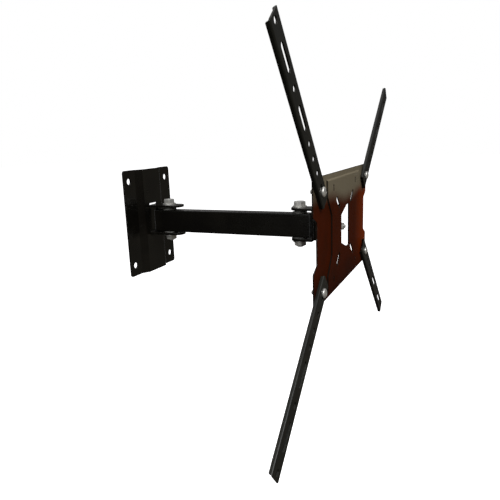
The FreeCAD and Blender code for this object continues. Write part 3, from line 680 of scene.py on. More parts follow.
class Forge:
    """Collects vertices and faces, and turns them into a finished mesh.

    Of a hexagon, FACE is the turned face's radius as a share of the flats, CORNER the
    corners' reach as a share of sharp ones, and CHAMFER the slope between the two.
    """

    HEX_STEPS = 72
    FACE = 0.475
    CORNER = 0.985
    CHAMFER = 0.577

    def __init__(self) -> None:
        """Start empty."""
        self.bm = bmesh.new()
        self.rim = self.bm.faces.layers.float.new("rim")

    def vert(self, place: Vector) -> bmesh.types.BMVert:
        """Add one vertex."""
        return self.bm.verts.new(place)

    def face(self, verts: Sequence[bmesh.types.BMVert], rim: float = 0.0) -> None:
        """Add one face, marked 1 on an edge's round and 0.5 on a straight cut side."""
        made = self.bm.faces.new(verts)
        made[self.rim] = rim

    def skin(self, rings: List[List[bmesh.types.BMVert]], closed: bool) -> None:
        """Join each ring to the next.

        Args:
            rings: rings of equally many vertices, or of one vertex for a tip.
            closed: whether the last ring joins the first.
        """
        steps = max(len(ring) for ring in rings)
        pairs = list(zip(rings, rings[1:]))
        if closed:
            pairs.append((rings[-1], rings[0]))
        for low, high in pairs:
            for step in range(steps):
                after = (step + 1) % steps
                ring = [low[step % len(low)], low[after % len(low)],
                        high[after % len(high)], high[step % len(high)]]
                self.face(list(dict.fromkeys(ring)))

    def turned(self, profile: Sequence[Pair], where: Matrix, steps: int = 48,
               shape: Optional[Callable[[float, float], float]] = None) -> None:
        """Turn a profile of (radius, height) points about an axis.

        Args:
            profile: the points from the bottom's middle to the top's middle.
            where: places the axis, which is the local Z.
            steps: how many faces go round.
            shape: gives the radius at an angle from the profile's radius, for
                heads that aren't round.
        """
        rings = []
        for radius, height in profile:
            if radius <= 0:
                rings.append([self.vert(where @ Vector((0, 0, height)))])
                continue
            ring = []
            for step in range(steps):
                angle = 2 * math.pi * step / steps
                size = shape(radius, angle) if shape else radius
                spot = Vector((size * math.cos(angle), size * math.sin(angle), height))
                ring.append(self.vert(where @ spot))
            rings.append(ring)
        self.skin(rings, profile[0][0] > 0 and profile[-1][0] > 0)

    def rod(self, radius: float, low: float, high: float, where: Matrix) -> None:
        """Add a plain cylinder about a local Z axis."""
        self.turned([(0, low), (radius, low), (radius, high), (0, high)], where)

    def hexagon(self, flats: float, low: float, high: float, where: Matrix, bore: float = 0.0,
                both_ends: bool = False) -> None:
        """Add a six-sided head or nut with turned chamfers, about a local Z axis.

        Args:
            flats: the width across flats.
            low: the height of its underside.
            high: the height of its top.
            where: places the axis.
            bore: the radius of its hole, or 0.
            both_ends: whether the underside is chamfered too.
        """
        steps = self.HEX_STEPS
        face = flats * self.FACE
        apothem = flats / 2
        corner = apothem / math.cos(math.pi / 6) * self.CORNER
        rows: List[List[Vector]] = []
        for height, sign in ((low, 1.0), (high, -1.0)):
            flat_row, edge_row = [], []
            for step in range(steps):
                angle = 2 * math.pi * step / steps
                reach = min(apothem / math.cos(sixth(angle)), corner)
                chamfered = sign < 0 or both_ends
                slope = max(0.0, reach - face) * self.CHAMFER if chamfered else 0.0
                spot = Vector((math.cos(angle), math.sin(angle), 0.0))
                edge_row.append(spot * reach + Vector((0, 0, height + sign * slope)))
                flat_row.append(spot * min(face, reach) + Vector((0, 0, height)))
            rows += [flat_row, edge_row] if sign > 0 else [edge_row, flat_row]
        caps = []
        for height in (low, high):
            turns = [2 * math.pi * step / steps for step in range(steps)] if bore else [0.0]
            caps.append([Vector((math.cos(turn) * bore, math.sin(turn) * bore, height))
                         for turn in turns])
        made = [[self.vert(where @ place) for place in row] for row in rows + caps]
        self.skin([made[-2]] + made[:-2] + [made[-1]], bore > 0)

    def join(self, mesh: bpy.types.Mesh, where: Optional[Matrix] = None) -> None:
        """Add a copy of another mesh, moved by a matrix."""
        copy = mesh.copy()
        if where is not None:
            copy.transform(where)
        self.bm.from_mesh(copy)
        bpy.data.meshes.remove(copy)

    def finish(self, name: str, crease: float = 32.0) -> bpy.types.Mesh:
        """Close, orient and shade the mesh.

        Args:
            name: the mesh's name.
            crease: the angle in degrees above which an edge stays sharp.

        Returns:
            The finished mesh.
        """
        bmesh.ops.remove_doubles(self.bm, verts=self.bm.verts[:], dist=1e-6)
        bmesh.ops.dissolve_degenerate(self.bm, edges=self.bm.edges[:], dist=1e-7)
        bmesh.ops.recalc_face_normals(self.bm, faces=self.bm.faces[:])
        for face in self.bm.faces:
            face.smooth = True
        for edge in self.bm.edges:
            if len(edge.link_faces) == 2 and edge.calc_face_angle() > math.radians(crease):
                edge.smooth = False
        mesh = bpy.data.meshes.new(name)
        self.bm.to_mesh(mesh)
        self.bm.free()
        return Workshop.settled(mesh, name)

    def piece(self, name: str, body: str, slot: Slot, *stands_for: str) -> None:
        """Finish the mesh and make it a piece."""
        Workshop.piece(name, self.finish(name), body, slot, *stands_for)


def sixth(angle: float) -> float:
    """An angle from the middle of the nearest of a hexagon's six flats."""
    return (angle + math.pi / 6) % (math.pi / 3) - math.pi / 6


def flat_at(y: float) -> Lay:
    """Lay a sheet flat across the Y axis, with its front towards -Y."""
    return lambda s, v: (Vector((s, y, v)), Vector((0.0, -1.0, 0.0)))


def joint_place(name: str) -> Sequence[float]:
    """A joint's place in the frame."""
    return next(joint["pos_m"] for joint in frame["joints"] if joint["name"] == name)


class Workshop:
    """Turns meshes into pieces that ride on the frame's bodies."""

    @staticmethod
    def settled(mesh: bpy.types.Mesh, name: str) -> bpy.types.Mesh:
        """Weight the normals by area, so that flats stay flat beside small rounds."""
        holder = bpy.data.objects.new(name + "_holder", mesh)
        bpy.context.scene.collection.objects.link(holder)
        weigher = holder.modifiers.new("weigh", "WEIGHTED_NORMAL")
        weigher.keep_sharp = True
        made = Workshop.evaluated(holder)
        bpy.data.objects.remove(holder)
        bpy.data.meshes.remove(mesh)
        made.name = name
        return made

    @staticmethod
    def evaluated(holder: bpy.types.Object) -> bpy.types.Mesh:
        """The plain mesh that an object's modifiers give."""
        graph = bpy.context.evaluated_depsgraph_get()
        graph.update()
        return bpy.data.meshes.new_from_object(
            holder.evaluated_get(graph), preserve_all_data_layers=True, depsgraph=graph)

    @staticmethod
    def piece(name: str, mesh: bpy.types.Mesh, body: str, slot: Slot, *stands_for: str) -> None:
        """Make a piece, dress it and hang it on its body.

        Args:
            name: the piece's name.
            mesh: its finished mesh, in place.
            body: the body that it rides on.
            slot: the slot that its finish belongs to.
            stands_for: the CAD nodes that it replaces.
        """
        made = bpy.data.objects.new(name, mesh)
        bpy.context.scene.collection.objects.link(made)
        mesh.materials.clear()
        mesh.materials.append(FINISHES[slot].material())
        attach(made, body)
        if stands_for:
            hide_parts(*stands_for)
        LOG.info("%s on %s, %d faces", name, body, len(mesh.polygons))

    @staticmethod
    def dress(node: str, slot: Slot) -> None:
        """Give a carried-over CAD node its finish."""
        item = frame["nodes"][node]
        if not item.material_slots:
            item.data.materials.append(None)
        for holder in item.material_slots:
            holder.material = FINISHES[slot].material()
        LOG.info("%s kept, in %s", node, slot.value)

    @staticmethod
    def stand(place: Sequence[float], along: Sequence[float]) -> Matrix:
        """A matrix that puts the local Z axis at a place and along a direction."""
        turn = Vector(along).to_track_quat("Z", "Y").to_matrix().to_4x4()
        return Matrix.Translation(Vector(place)) @ turn


# ------------------------------------------------------------- geometry nodes


class GeometryTree:
    """A geometry node tree with named inputs, and the tools to run it."""

    def __init__(self, name: str, inputs: Dict[str, str]) -> None:
        """Make the tree with a geometry input and output, its sizes and a material.

        Args:
            name: the tree's name.
            inputs: the kind of each named size, such as Float or Int.
        """
        self.tree = bpy.data.node_groups.new(name, "GeometryNodeTree")
        self.graph = Graph(self.tree)
        face = self.tree.interface
        for label, kind in {"Geometry": "Geometry", **inputs, "Material": "Material"}.items():
            face.new_socket(label, in_out="INPUT", socket_type="NodeSocket" + kind)
        face.new_socket("Geometry", in_out="OUTPUT", socket_type="NodeSocketGeometry")
        self.inlet = self.graph.node("NodeGroupInput")

    def given(self, label: str) -> Socket:
        """One of the tree's inputs."""
        return Socket(self.graph, self.inlet.outputs[label])

    def close(self, geometry: Socket) -> None:
        """End the tree with Realize Instances and Set Material."""
        whole = self.graph.value("GeometryNodeRealizeInstances", None, {"Geometry": geometry})
        dressed = self.graph.value("GeometryNodeSetMaterial", None,
                                   {"Geometry": whole, "Material": self.given("Material")})
        self.graph.node("NodeGroupOutput", None, {"Geometry": dressed})

    def run(self, base: bpy.types.Mesh, slot: Slot, values: Dict[str, float]) -> bpy.types.Mesh:
        """Run the tree on a mesh.

        Args:
            base: the mesh that goes in.
            slot: the slot whose finish it gets.
            values: the sizes by name.

        Returns:
            The plain mesh that comes out.
        """
        holder = bpy.data.objects.new(self.tree.name + "_holder", base)
        bpy.context.scene.collection.objects.link(holder)
        modifier = holder.modifiers.new("grow", "NODES")
        modifier.node_group = self.tree
        given = {**values, "Material": FINISHES[slot].material()}
        for item in self.tree.interface.items_tree:
            if item.in_out == "INPUT" and item.name in given:
                modifier[item.identifier] = given[item.name]
        made = Workshop.evaluated(holder)
        holder.modifiers.remove(modifier)
        bpy.data.objects.remove(holder)
        return made


class ThreadCutter:
    """Cuts a screw thread as one helical surface, closed at both ends.

    DEPTH is a share of the pitch and CHAMFER a share of the depth. STEEPNESS and CREST
    shape the flanks: how fast they fall, and how much of the crest stays flat.
    """

    STEPS = 30
    FLANK_ROWS = 7
    DEPTH = 0.54
    CHAMFER = 1.15
    STEEPNESS = 1.3
    CREST = 0.15

    def __init__(self) -> None:
        """Build the tree."""
        sizes = ("Radius", "Depth", "Pitch", "Length", "Chamfer")
        self.kit = GeometryTree("thread", {label: "Float" for label in sizes})
        graph = self.kit.graph
        radius, depth, pitch, length, chamfer = [self.kit.given(label) for label in sizes]
        turns = graph.maths("CEIL", length / pitch) + 2.0
        grid = graph.value("GeometryNodeMeshGrid", None, {
            "Size X": 1.0, "Size Y": 1.0, "Vertices X": turns * self.STEPS + 1.0,
            "Vertices Y": self.FLANK_ROWS})
        raw_x, raw_y, _ = graph.parts(graph.value("GeometryNodeInputPosition"))
        along, flank = raw_x + 0.5, raw_y + 0.5
        angle = along * turns * (2 * math.pi)
        height = graph.clamp(pitch * (along * turns + flank - 1.0), length)
        dip = graph.clamp(abs(flank * 2.0 - 1.0) * self.STEEPNESS - self.CREST, 1.0)
        ends = radius - chamfer + graph.maths("MINIMUM", height, length - height)
        size = graph.maths("MINIMUM", radius - depth * dip, ends)
        spot = graph.vector(size * graph.maths("COSINE", angle),
                            size * graph.maths("SINE", angle), height)
        parts = [graph.value("GeometryNodeSetPosition", None, {"Geometry": grid, "Position": spot})]
        for level in (0.0, 1.0):
            disc = graph.value("GeometryNodeMeshCircle", {"fill_type": "NGON"},
                               {"Vertices": self.STEPS, "Radius": radius - chamfer})
            lift = graph.vector(z=length * level)
            parts.append(graph.value("GeometryNodeTransform", None,
                                     {"Geometry": disc, "Translation": lift}))
        joined = graph.node("GeometryNodeJoinGeometry")
        for part in parts:
            graph.tree.links.new(part.output, joined.inputs[0])
        whole = Socket(graph, joined.outputs[0])
        self.kit.close(graph.value("GeometryNodeMergeByDistance", None,
                                   {"Geometry": whole, "Distance": SEAM}))

    def cut(self, radius: float, pitch: float, length: float) -> bpy.types.Mesh:
        """A thread that stands on z = 0 and points up.

        Args:
            radius: the outer radius.
            pitch: the rise of one turn.
            length: how long the thread is.

        Returns:
            Its mesh, about the Z axis.
        """
        depth = self.DEPTH * pitch
        return self.kit.run(bpy.data.meshes.new("thread_base"), Slot.ZINC, {
            "Radius": radius, "Depth": depth, "Pitch": pitch, "Length": length,
            "Chamfer": depth * self.CHAMFER})


class Welder:
    """Lays a weld bead of overlapping ripples along a path."""

    SIZES = (0.86, 1.12)
    OVERLAP = 0.42

    def __init__(self) -> None:
        """Build the tree."""
        self.kit = GeometryTree("weld_bead", {"Width": "Float", "Pitch": "Float", "Seed": "Int"})
        kit, graph = self.kit, self.kit.graph
        path = graph.value("GeometryNodeMeshToCurve", None, {"Mesh": kit.given("Geometry")})
        spots = graph.value("GeometryNodeResampleCurve", {"mode": "LENGTH"},
                            {"Curve": path, "Length": kit.given("Pitch")})
        lens = graph.value("GeometryNodeMeshUVSphere", None,
                           {"Segments": 14, "Rings": 8, "Radius": 0.5})
        vary = graph.value("FunctionNodeRandomValue", {"data_type": "FLOAT"},
                           {2: self.SIZES[0], 3: self.SIZES[1], "Seed": kit.given("Seed")}, 1)
        size = vary * kit.given("Width")
        kit.close(graph.value("GeometryNodeInstanceOnPoints", None, {
            "Points": spots, "Instance": lens, "Scale": graph.vector(size, size, size)}))

    def lay(self, name: str, body: str, slot: Slot,
            runs: Sequence[Tuple[Sequence[float], Sequence[float]]], width: float,
            seed: int) -> None:
        """Weld along straight runs, as one piece.

        Args:
            name: the piece's name.
            body: the body that it rides on.
            slot: the slot of what the bead is painted with.
            runs: the two ends of each run.
            width: the bead's width.
            seed: fixes the ripples' sizes.
        """
        base = bpy.data.meshes.new("weld_path")
        points = [tuple(end) for run in runs for end in run]
        base.from_pydata(points, [(2 * i, 2 * i + 1) for i in range(len(runs))], [])
        made = self.kit.run(base, slot, {
            "Width": width, "Pitch": width * self.OVERLAP, "Seed": seed})
        for polygon in made.polygons:
            polygon.use_smooth = True
        Workshop.piece(name, made, body, slot)


class PivotSetter:
    """Repeats one fastener at the four extension bar pivots."""

    def __init__(self) -> None:
        """Build the tree."""
        self.kit = GeometryTree("pivot_set", {"Span X": "Float", "Span Z": "Float",
                                              "Depth": "Float"})
        kit, graph = self.kit, self.kit.graph
        grid = graph.value("GeometryNodeMeshGrid", None, {
            "Size X": kit.given("Span X"), "Size Y": kit.given("Span Z"),
            "Vertices X": 2, "Vertices Y": 2})
        stood = graph.value("GeometryNodeTransform", None, {
            "Geometry": grid, "Translation": graph.vector(y=kit.given("Depth")),
            "Rotation": (math.pi / 2, 0.0, 0.0)})
        kit.close(graph.value("GeometryNodeInstanceOnPoints", None,
                              {"Points": stood, "Instance": kit.given("Geometry")}))

    def repeat(self, name: str, forge: Forge, depth: float, slot: Slot, node: str) -> None:
        """Make a piece of four copies of a fastener.

        Args:
            name: the piece's name.
            forge: the fastener, in its final attitude, at the origin.
            depth: where the pivots' origin is along Y.
            slot: the slot of its finish.
            node: the CAD node that the four replace.
        """
        place = joint_place("spread_upper_right")
        made = self.kit.run(forge.finish(name + "_one"), slot, {
            "Span X": 2 * place[0], "Span Z": 2 * place[2], "Depth": depth})
        Workshop.piece(name, made, "screen", slot, node)


# ----------------------------------------------------------------- assemblies


@dataclass
class Fasteners:
    """Bolts, nuts and washers, each about its own axis; sizes without MM are shares."""

    threads: ThreadCutter
    washer_face: float = 0.4 * MM
    face_share: float = 0.47
    plain_share: float = 0.97
    bore_share: float = 1.01
    ring_share: float = 0.55
    ring_height: float = 0.5 * MM
    washer_round: float = 0.35 * MM

    def bolt(self, forge: Forge, where: Matrix, radius: float, flats: float, head: float,
             shank: float, thread: float, pitch: float) -> None:
        """A hex bolt whose head stands on local z = 0 and whose shank hangs down.

        Args:
            forge: the mesh that it joins.
            where: places its axis.
            radius: of the shank.
            flats: across the head.
            head: the head's height.
            shank: the whole length below the head.
            thread: how much of that is threaded.
            pitch: of the thread.
        """
        forge.hexagon(flats, self.washer_face, head, where)
        forge.rod(flats * self.face_share, 0, self.washer_face * 1.01, where)
        plain = shank - thread
        forge.rod(radius * self.plain_share, -plain, 0.0, where)
        self.screw(forge, where, radius, plain, thread, pitch)

    def screw(self, forge: Forge, where: Matrix, radius: float, start: float, thread: float,
              pitch: float) -> None:
        """Hang a thread from a distance below local z = 0."""
        screw = self.threads.cut(radius, pitch, thread)
        down = Matrix.Translation((0, 0, -start)) @ Matrix.Rotation(math.pi, 4, "X")
        forge.join(screw, where @ down)
        bpy.data.meshes.remove(screw)

    def nut(self, forge: Forge, where: Matrix, radius: float, flats: float, height: float) -> None:
        """A nut that hangs from local z = 0: a hexagon with a raised locking ring below."""
        ring = min(self.ring_height, height * 0.08)
        bore = radius * self.bore_share
        forge.hexagon(flats, ring - height, 0.0, where, bore=bore, both_ends=True)
        rim = bore + (flats / 2 - bore) * self.ring_share
        top = ring * 1.2 - height
        forge.turned([(bore, -height), (rim - ring * 0.6, -height), (rim, ring * 0.5 - height),
                      (rim, top), (bore, top)], where)

    def washer(self, forge: Forge, where: Matrix, bore: float, radius: float,
               height: float) -> None:
        """A stamped washer that stands on local z = 0, with one edge rounded."""
        soft = min(self.washer_round, height * 0.3)
        forge.turned([(bore, 0.0), (radius - soft * 0.4, 0.0), (radius, soft * 0.4),
                      (radius, height - soft), (radius - soft * 0.3, height - soft * 0.3),
                      (radius - soft, height), (bore, height)], where, 56)


@dataclass
class Clevis:
    """A folded U of sheet whose two ears hold one of the arm's pins."""

    prefix: str
    opens: int
    half_width: float
    sheet: float = 4.0 * MM
    fold: float = 3.5 * MM
    corner: float = 14.0 * MM
    pin_hole: float = 6.25 * MM

    def add(self, forge: Forge) -> float:
        """Add the U to a mesh.

        Args:
            forge: the mesh that it joins.

        Returns:
            Where the web's middle is along Y.
        """
        low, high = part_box(self.prefix + "_clevis")
        half = self.sheet / 2
        tip, back = (low.y, high.y) if self.opens < 0 else (high.y, low.y)
        web = back + self.opens * half
        line = FoldLine([(tip, low.z + half), (web, low.z + half),
                         (web, high.z - half), (tip, high.z - half)], self.fold)
        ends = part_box(self.prefix + "_sleeve")
        across = line.from_end(abs(tip - (ends[0].y + ends[1].y) / 2))
        holes = [Outline.ring(s, 0.0, self.pin_hole) for s in (-across, across)]
        Sheet(line.band(self.half_width, self.corner), holes, self.sheet, line.level, line.cuts(),
              rim=0.45 * MM).build(forge)
        return web


@dataclass
class WallPlate:
    """Pressed hat-section plate that is screwed to the wall, with its folded bracket."""

    welder: Welder
    sheet: float = 3.0 * MM
    fold: float = 3.0 * MM
    crest: float = 27.0 * MM
    foot: float = 38.5 * MM
    corner: float = 5.0 * MM
    hole: float = 5.5 * MM
    hole_in: Pair = (14.5 * MM, 19.5 * MM)
    slit: Pair = (12.0 * MM, 2.6 * MM)
    gap: float = 0.3 * MM
    bracket_half: float = 15.0 * MM
    bead: float = 3.4 * MM

    def plate(self, forge: Forge) -> None:
        """The hat-section plate with its four screw holes and the bracket's window."""
        low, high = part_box("wall_plate")
        flange = high.y - self.sheet / 2
        band = low.y + self.sheet / 2
        lean = math.atan2(abs(band - flange), self.foot - self.crest)
        shift = self.sheet / 2 * math.tan(lean / 2)
        foot, crest = self.foot - shift, self.crest - shift
        line = FoldLine([(low.x, flange), (-foot, flange), (-crest, band), (crest, band),
                         (foot, flange), (high.x, flange)], self.fold)
        bracket_low, bracket_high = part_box("wall_clevis")
        top, bottom = bracket_high.z + self.gap, bracket_low.z - self.gap
        side = self.bracket_half + self.gap
        slit, rise = self.slit
        radii = [part * MM for part in (1.2, 1.2, 0.6, 0.4, 1.2, 1.2, 0.4, 0.6)]
        window = Outline.rounded([(-side, bottom), (side, bottom), (side, top), (slit, top),
                                  (slit, top + rise), (-slit, top + rise), (-slit, top),
                                  (-side, top)], radii, 4)
        across, up = line.from_end(self.hole_in[0]), high.z - self.hole_in[1]
        holes = [Outline.ring(x, z, self.hole) for x in (-across, across) for z in (-up, up)]
        outline = Outline.box((-line.length / 2, low.z), (line.length / 2, high.z), self.corner)
        Sheet(outline, holes + [window], self.sheet, line.upright, line.cuts()).build(forge)

    def bracket(self, forge: Forge) -> None:
        """The folded bracket with two ears, and the wings that are welded behind the band."""
        low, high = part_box("wall_clevis")
        clevis = Clevis("wall", -1, self.bracket_half)
        web = clevis.add(forge)
        for left, right in ((-high.x, -self.bracket_half), (self.bracket_half, high.x)):
            outline = Outline.box((left, low.z), (right, high.z))
            Sheet(outline, [], clevis.sheet, flat_at(web), rim=0.3 * MM).build(forge)

    def welds(self) -> None:
        """Beads behind the band and under the lower ear."""
        low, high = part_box("wall_clevis")
        plate_low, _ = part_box("wall_plate")
        back = plate_low.y + self.sheet + 0.4 * MM
        runs = [((x, back, low.z + 3 * MM), (x, back, high.z - 3 * MM))
                for x in (low.x - 0.2 * MM, high.x + 0.2 * MM)]
        y, z = plate_low.y - 0.1 * MM, low.z - 0.3 * MM
        reach = self.bracket_half - 2.5 * MM
        runs.append(((-reach, y, z), (reach, y, z)))
        self.welder.lay("wall_bracket_welds", "wall", Slot.FRAME, runs, self.bead, 11)

    def build(self) -> None:
        """Make the wall side's sheet metal."""
        for draw, name, node in ((self.plate, "wall_plate_pressed", "wall_plate"),
                                 (self.bracket, "wall_bracket_folded", "wall_clevis")):
            forge = Forge()
            draw(forge)
            forge.piece(name, "wall", Slot.FRAME, node)
        self.welds()


@dataclass
class Pivot:
    """Everything about one upright pin: bolt, nut and washers, and the tube's bushes."""

    fasteners: Fasteners
    prefix: str
    body: str
    pin: float = 6.0 * MM
    flats: float = 18.0 * MM
    bare: float = 1.0 * MM
    loose: float = 1.04
    pitch: float = 1.75 * MM
    collar: float = 8.5 * MM
    flange: float = 2.0 * MM
    soft: float = 0.4 * MM

    def bush(self, forge: Forge, where: Matrix, bore: float, wide: float, tall: float) -> None:
        """A flanged bush that stands on local z = 0, with its collar up in the tube."""
        soft, collar, flange = self.soft, self.collar, self.flange
        forge.turned([(bore, 0), (wide - soft * 0.3, 0), (wide, soft * 0.3), (wide, flange - soft),
                      (wide - soft * 0.3, flange - soft * 0.3), (wide - soft, flange),
                      (collar + soft, flange), (collar + soft * 0.3, flange + soft * 0.3),
                      (collar, flange + soft), (collar, tall - soft), (collar - soft, tall),
                      (bore, tall)], where, 56)

    def build(self) -> None:
        """Make the pivot's fasteners and bushes."""
        kit, prefix = self.fasteners, self.prefix
        washers_low, washers_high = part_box(prefix + "_pivot_washers")
        bolt_low, bolt_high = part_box(prefix + "_pivot_bolt")
        nut_low, nut_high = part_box(prefix + "_pivot_nut")
        centre = (washers_low + washers_high) / 2

        def at(z: float) -> Matrix:
            """Stand on the pin's axis at a height."""
            return Workshop.stand((centre.x, centre.y, z), (0, 0, 1))

        forge = Forge()
        kit.bolt(forge, at(washers_high.z), self.pin, self.flats, bolt_high.z - washers_high.z,
                 washers_high.z - bolt_low.z, nut_high.z - bolt_low.z - self.bare, self.pitch)
        forge.piece(prefix + "_pivot_bolt_threaded", self.body, Slot.ZINC, prefix + "_pivot_bolt")

        forge = Forge()
        kit.nut(forge, at(nut_high.z), self.pin, self.flats, nut_high.z - nut_low.z)
        forge.piece(prefix + "_pivot_lock_nut", self.body, Slot.ZINC, prefix + "_pivot_nut")

        forge = Forge()
        ears_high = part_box(prefix + "_clevis")[1].z
        radius = (washers_high.x - washers_low.x) / 2
        for z in (ears_high, washers_low.z):
            kit.washer(forge, at(z), self.pin * self.loose, radius, washers_high.z - ears_high)
        forge.piece(prefix + "_pivot_washers_stamped", self.body, Slot.ZINC,
                    prefix + "_pivot_washers")

        upper_low, upper_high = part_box(prefix + "_upper_bush")
        lower_low, lower_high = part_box(prefix + "_lower_bush")
        forge = Forge()
        bore, wide = self.pin * kit.bore_share, (upper_high.x - upper_low.x) / 2
        self.bush(forge, at(upper_low.z), bore, wide, upper_high.z - upper_low.z)
        kit.washer(forge, at(lower_low.z), bore, wide, lower_high.z - lower_low.z)
        forge.piece(prefix + "_bushes_moulded", "arm", Slot.NYLON,
                    prefix + "_upper_bush", prefix + "_lower_bush")
        Workshop.dress(prefix + "_sleeve", Slot.ZINC)


@dataclass
class ArmTube:
    """The rectangular tube with a plastic cap in each end."""

    wall: float = 2.0 * MM
    corner: float = 2.5 * MM
    bore_corner: float = 1.0 * MM
    lip: float = 1.5 * MM
    dome: Tuple[Pair, ...] = ((0.0, 1.5), (0.0, 0.5), (0.25, 0.15), (0.9, 0.0), (2.2, 0.0),
                              (2.8, 0.3), (3.4, 0.3))

    def section(self, low: Vector, high: Vector, inset: float,
                corner: Optional[float] = None) -> List[Pair]:
        """The tube's outline, drawn in by an inset."""
        radius = max(0.5 * MM, self.corner - inset) if corner is None else corner
        return Outline.box((low.x + inset, low.z + inset), (high.x - inset, high.z - inset),
                           radius)

    def tube(self) -> None:
        """The hollow tube with rounded corners."""
        low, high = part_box("arm_tube")
        inner = self.section(low, high, self.wall, self.bore_corner)
        forge = Forge()
        Sheet(self.section(low, high, 0.0), [inner], high.y - low.y,
              flat_at((low.y + high.y) / 2), rim=0.3 * MM).build(forge)
        forge.piece("arm_tube_drawn", "arm", Slot.FRAME, "arm_tube")

    def cap(self, node: str, outward: int) -> None:
        """A cap with a softly domed lip and a hollow plug.

        Args:
            node: the CAD node that it stands for.
            outward: the sign along Y of the side that shows.
        """
        low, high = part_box(node)
        face = high.y if outward > 0 else low.y
        forge = Forge()
        rings = []
        for inset, drop in self.dome:
            y = face - outward * drop * MM
            shape = self.section(low, high, inset * MM)
            rings.append([forge.vert(Vector((x, y, z))) for x, z in shape])
        for before, after in zip(rings, rings[1:]):
            for index in range(len(before)):
                forge.face([before[index - 1], before[index], after[index], after[index - 1]])
        forge.face(rings[-1])
        forge.face(list(reversed(rings[0])))
        depth = (high.y - low.y) - self.lip
        middle = face - outward * self.lip - outward * depth / 2
        plug = self.section(low, high, self.wall + 0.15 * MM)
        hollow = self.section(low, high, self.wall + 1.75 * MM)
        Sheet(plug, [hollow], depth, flat_at(middle), rim=0.2 * MM).build(forge)
        forge.piece(node + "_domed", "arm", Slot.CAP, node)

    def build(self) -> None:
        """Make the tube and both caps."""
        self.tube()
        self.cap("arm_cap_wall", 1)
        self.cap("arm_cap_head", -1)


@dataclass
class Cheeks:
    """A U of sheet whose cheeks narrow to a round nose about the tilt axis."""

    node: str
    body: str
    opens: int
    nose: float
    hole: float
    sheet: float = 3.0 * MM
    fold: float = 3.0 * MM
    chords: int = 10

    def build(self, extra: Sequence[List[Pair]] = ()) -> None:
        """Make the bracket.

        Args:
            extra: more holes, in the web.
        """
        low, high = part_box(self.node)
        tip, back = (low.y, high.y) if self.opens < 0 else (high.y, low.y)
        web = back + self.opens * self.sheet / 2
        side = high.x - self.sheet / 2
        line = FoldLine([(-side, tip), (-side, web), (side, web), (side, tip)], self.fold)
        reach = line.length / 2
        centre = reach - self.nose
        shoulder = reach - abs(tip - back) + self.sheet
        turns = [math.pi / 2 * step / self.chords for step in range(self.chords + 1)]
        quarter = [(shoulder, high.z)]
        quarter += [(centre + self.nose * math.cos(a), self.nose * math.sin(a))
                    for a in reversed(turns)]
        right = quarter + [(x, -y) for x, y in reversed(quarter[:-1])]
        outline = right + [(-x, y) for x, y in reversed(right)]
        holes = [Outline.ring(s, 0.0, self.hole) for s in (-centre, centre)] + list(extra)
        forge = Forge()
        Sheet(outline, holes, self.sheet, line.upright, line.cuts()).build(forge)
        forge.piece(self.node + "_folded", self.body, Slot.FRAME, self.node)


@dataclass
class Head:
    """The bracket at the arm's free end, with the yoke of the tilt joint."""

    fasteners: Fasteners
    welder: Welder
    bolt_radius: float = 4.0 * MM
    bolt_flats: float = 13.0 * MM
    bolt_pitch: float = 1.25 * MM
    washer_bore: float = 4.2 * MM
    bead: float = 3.0 * MM

    def welds(self) -> None:
        """Beads that join the yoke to the bracket's web."""
        _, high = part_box("tilt_yoke")
        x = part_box("head_clevis")[1].x + 0.3 * MM
        y, z = high.y + 0.3 * MM, high.z - 2.5 * MM
        runs = [((side * x, y, -z), (side * x, y, z)) for side in (-1, 1)]
        self.welder.lay("tilt_yoke_welds", "head", Slot.FRAME, runs, self.bead, 23)

    def hardware(self) -> None:
        """The tilt bolt with its nut, outer washers and friction washers."""
        kit, radius, flats = self.fasteners, self.bolt_radius, self.bolt_flats
        washers_low, washers_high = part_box("tilt_washers")
        bolt_low, bolt_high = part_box("tilt_bolt")
        nut_low, nut_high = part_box("tilt_nut")
        _, yoke_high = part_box("tilt_yoke")
        y = (washers_low.y + washers_high.y) / 2
        forge = Forge()
        kit.bolt(forge, Workshop.stand((washers_low.x, y, 0), (-1, 0, 0)), radius, flats,
                 washers_low.x - bolt_low.x, bolt_high.x - washers_low.x,
                 bolt_high.x - nut_low.x - 0.6 * MM, self.bolt_pitch)
        forge.piece("tilt_bolt_threaded", "head", Slot.ZINC, "tilt_bolt")
        forge = Forge()
        kit.nut(forge, Workshop.stand((nut_low.x, y, 0), (-1, 0, 0)), radius, flats,
                nut_high.x - nut_low.x)
        forge.piece("tilt_lock_nut", "head", Slot.ZINC, "tilt_nut")
        forge = Forge()
        for sign in (-1, 1):
            where = Workshop.stand((sign * yoke_high.x, y, 0), (sign, 0, 0))
            kit.washer(forge, where, self.washer_bore, (washers_high.z - washers_low.z) / 2,
                       washers_high.x - yoke_high.x)
        forge.piece("tilt_washers_stamped", "head", Slot.ZINC, "tilt_washers")
        Workshop.dress("tilt_friction_washers", Slot.NYLON)

    def build(self) -> None:
        """Make the head's sheet metal and the tilt hardware."""
        forge = Forge()
        Clevis("head", 1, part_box("head_clevis")[1].x).add(forge)
        forge.piece("head_bracket_folded", "head", Slot.FRAME, "head_clevis")
        Cheeks("tilt_yoke", "head", -1, 12.0 * MM, 4.25 * MM).build()
        self.welds()
        self.hardware()


